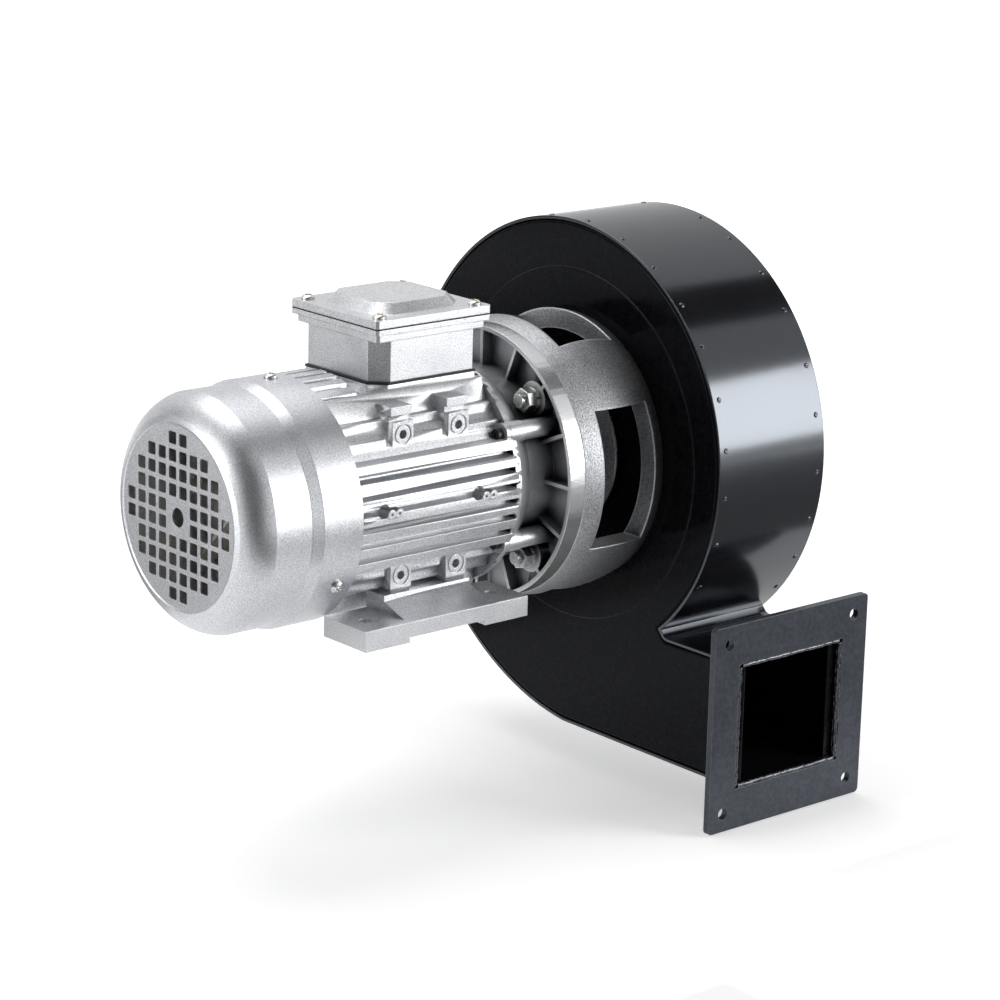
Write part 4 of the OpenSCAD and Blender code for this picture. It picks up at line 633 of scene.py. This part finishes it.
# Inlet nozzle: a spun sheet steel funnel, painted black, that eight screws hold over the
# opening of the far plate.
shell("inlet_nozzle", gloss_black, "gloss_black", smooth=35)
shell("inlet_screws", zinc, "zinc", width=0.0002)

# Impeller: two sheet aluminium discs with bent blades between them, riveted to a turned hub
# that a bolt and a washer hold on the shaft.
aluminium = finish_of("mill_aluminium", (0.6, 0.6, 0.61), (0.75, 0.75, 0.76), 500, 0.95, 0.35, bump=0.2,
                      edge=(0.85, 0.85, 0.86), edge_size=0.0004)
for name in ("impeller_back", "impeller_blades", "impeller_shroud", "impeller_hub"):
    shell(name, aluminium, "sheet_aluminium", body="rotor")
paint(zinc, "hub_rivets")
shell("impeller_washer", zinc, "zinc", body="rotor")
shell("impeller_bolt", zinc, "zinc", body="rotor")

# Terminal box: a cast body with a bevelled front corner, screwed to the housing on a rubber
# gasket, with a rim that is grooved all round under the lid.
paint(rubber, "box_gasket", "lid_gasket")
shell("terminal_box", cast_paint, "cast_paint", width=0.0004)
paint(zinc, "box_screws")

# Terminals: a moulded plastic block inside the box, with brass studs, nuts and links that
# join the motor's windings to the supply.
moulded = finish_of("black_plastic", (0.018, 0.018, 0.02), (0.03, 0.03, 0.033), 500, 0.0, 0.5, bump=0.2,
                    edge=(0.06, 0.06, 0.06), edge_size=0.0003)
paint(moulded, "terminal_block")
brass = finish_of("brass", (0.6, 0.42, 0.16), (0.78, 0.6, 0.28), 600, 1.0, 0.3, bump=0.1,
                  edge=(0.85, 0.7, 0.4), edge_size=0.0003)
paint(brass, "terminal_studs", "terminal_nuts", "terminal_links")

# Lid: a cast cover with a raised field, painted with the box, which four bright screws with
# cross recesses hold.
shell("terminal_lid", cast_paint, "cast_paint", width=0.0005)
nickel = finish_of("bright_nickel", (0.60, 0.57, 0.50), (0.86, 0.84, 0.79), 500, 1.0, 0.16, bump=0.15,
                   bump_grain=400, depth=0.00005, edge=(0.92, 0.9, 0.85), edge_size=0.0003)
shell("lid_screws", nickel, "nickel", width=0.0004)

# Cable gland: a moulded plastic body screwed into the box on the side away from the outlet,
# with its cap nut.
shell("cable_gland", moulded, "black_plastic", width=0.0003)
shell("gland_nut", moulded, "black_plastic", width=0.0003)

# Studio: a pale floor, a bright surround, a large soft lamp at the front right, weaker ones
# above and at the left, and cards that the camera does not see.
alone()
bpy.ops.mesh.primitive_plane_add(size=14, location=(0, 0, -0.1285))
ground_sheet = bpy.context.object
ground_sheet.name = "floor"
pale = bpy.data.materials.new("pale_floor")
pale.use_nodes = True
tree = pale.node_tree
shader = tree.nodes["Principled BSDF"]
shader.inputs["Base Color"].default_value = (0.86, 0.86, 0.86, 1)
shader.inputs["Roughness"].default_value = 0.9
shader.inputs["Specular IOR Level"].default_value = 0.1


def seen_rays(tree):
    """One where the camera, a reflection or glass looks, and nought for the light on the object."""
    path = tree.nodes.new("ShaderNodeLightPath")
    sum_of = tree.nodes.new("ShaderNodeMath")
    sum_of.operation = "MAXIMUM"
    link(tree, path.outputs["Is Camera Ray"], sum_of.inputs[0])
    link(tree, path.outputs["Is Glossy Ray"], sum_of.inputs[1])
    both = tree.nodes.new("ShaderNodeMath")
    both.operation = "MAXIMUM"
    link(tree, sum_of.outputs["Value"], both.inputs[0])
    link(tree, path.outputs["Is Transmission Ray"], both.inputs[1])
    return both.outputs["Value"]


away = tree.nodes.new("ShaderNodeVectorMath")
away.operation = "LENGTH"
link(tree, tree.nodes.new("ShaderNodeTexCoord").outputs["Object"], away.inputs[0])
brighter = tree.nodes.new("ShaderNodeMapRange")
brighter.interpolation_type = "SMOOTHSTEP"
for socket, value in (("From Min", 0.35), ("From Max", 1.6), ("To Min", 0.45), ("To Max", 1.0)):
    brighter.inputs[socket].default_value = value
link(tree, away.outputs["Value"], brighter.inputs["Value"])
glow = tree.nodes.new("ShaderNodeMath")
glow.operation = "MULTIPLY"
link(tree, brighter.outputs["Result"], glow.inputs[1])
link(tree, seen_rays(tree), glow.inputs[0])
shader.inputs["Emission Color"].default_value = (1, 1, 1, 1)
link(tree, glow.outputs["Value"], shader.inputs["Emission Strength"])
ground_sheet.data.materials.append(pale)

world = bpy.data.worlds.new("studio")
bpy.context.scene.world = world
world.use_nodes = True
tree = world.node_tree
surround = tree.nodes["Background"]
surround.inputs["Color"].default_value = (1, 1, 1, 1)
surround.inputs["Strength"].default_value = 0.35
seen = tree.nodes.new("ShaderNodeBackground")
seen.inputs["Strength"].default_value = 1.0
choice = tree.nodes.new("ShaderNodeMixShader")
link(tree, seen_rays(tree), choice.inputs["Fac"])
link(tree, surround.outputs["Background"], choice.inputs[1])
link(tree, seen.outputs["Background"], choice.inputs[2])
link(tree, choice.outputs["Shader"], tree.nodes["World Output"].inputs["Surface"])


def lamp(name, place, aim, size, power):
    data = bpy.data.lights.new(name, "AREA")
    data.shape, data.size, data.size_y, data.energy = "RECTANGLE", size[0], size[1], power
    piece = bpy.data.objects.new(name, data)
    bpy.context.scene.collection.objects.link(piece)
    piece.location = place
    piece.rotation_euler = (Vector(aim) - Vector(place)).to_track_quat("-Z", "Y").to_euler()


def card(name, place, aim, size, shade):
    """A board that reflections see, but the camera does not, and that casts no shadow."""
    alone()
    bpy.ops.mesh.primitive_plane_add(size=1)
    board = bpy.context.object
    board.name = name
    board.scale = (size[0], size[1], 1)
    board.location = place
    board.rotation_euler = (Vector(aim) - Vector(place)).to_track_quat("Z", "Y").to_euler()
    board.visible_camera = False
    board.visible_shadow = False
    tone = bpy.data.materials.new(name)
    tone.use_nodes = True
    shader = tone.node_tree.nodes["Principled BSDF"]
    shader.inputs["Base Color"].default_value = (shade, shade, shade, 1)
    shader.inputs["Roughness"].default_value = 1.0
    board.data.materials.append(tone)


lamp("key_lamp", (1.1, -1.35, 0.40), (0.1, 0, 0.05), (0.9, 0.76), 17)
lamp("top_lamp", (0.1, 0.5, 1.6), (0.05, 0, 0.05), (1.3, 1.0), 12)
lamp("left_lamp", (-1.5, 0.5, 0.5), (0, 0, 0.05), (0.9, 0.9), 12)
card("dark_card", (-1.2, -1.25, 0.6), (0, 0, 0.05), (1.8, 2.8), 0.0)
card("floor_card", (-0.8, -0.85, -0.1275), (-0.8, -0.85, 1), (1.6, 1.1), 0.01)
card("grey_card", (-1.2, 1.2, 0.4), (0, 0, 0.05), (1.6, 1.4), 0.25)
card("front_card", (0.7, -0.75, -0.1272), (0.7, -0.75, 1), (1.1, 1.05), 0.25)
card("roof_card", (0.3, -0.42, 1.4), (0.3, -0.42, 0), (2.8, 0.62), 0.0)
card("back_card", (-0.42, 0.68, -0.127), (-0.42, 0.68, 1), (0.95, 0.9), 0.35)

view = bpy.context.scene.view_settings
view.view_transform = "Standard"
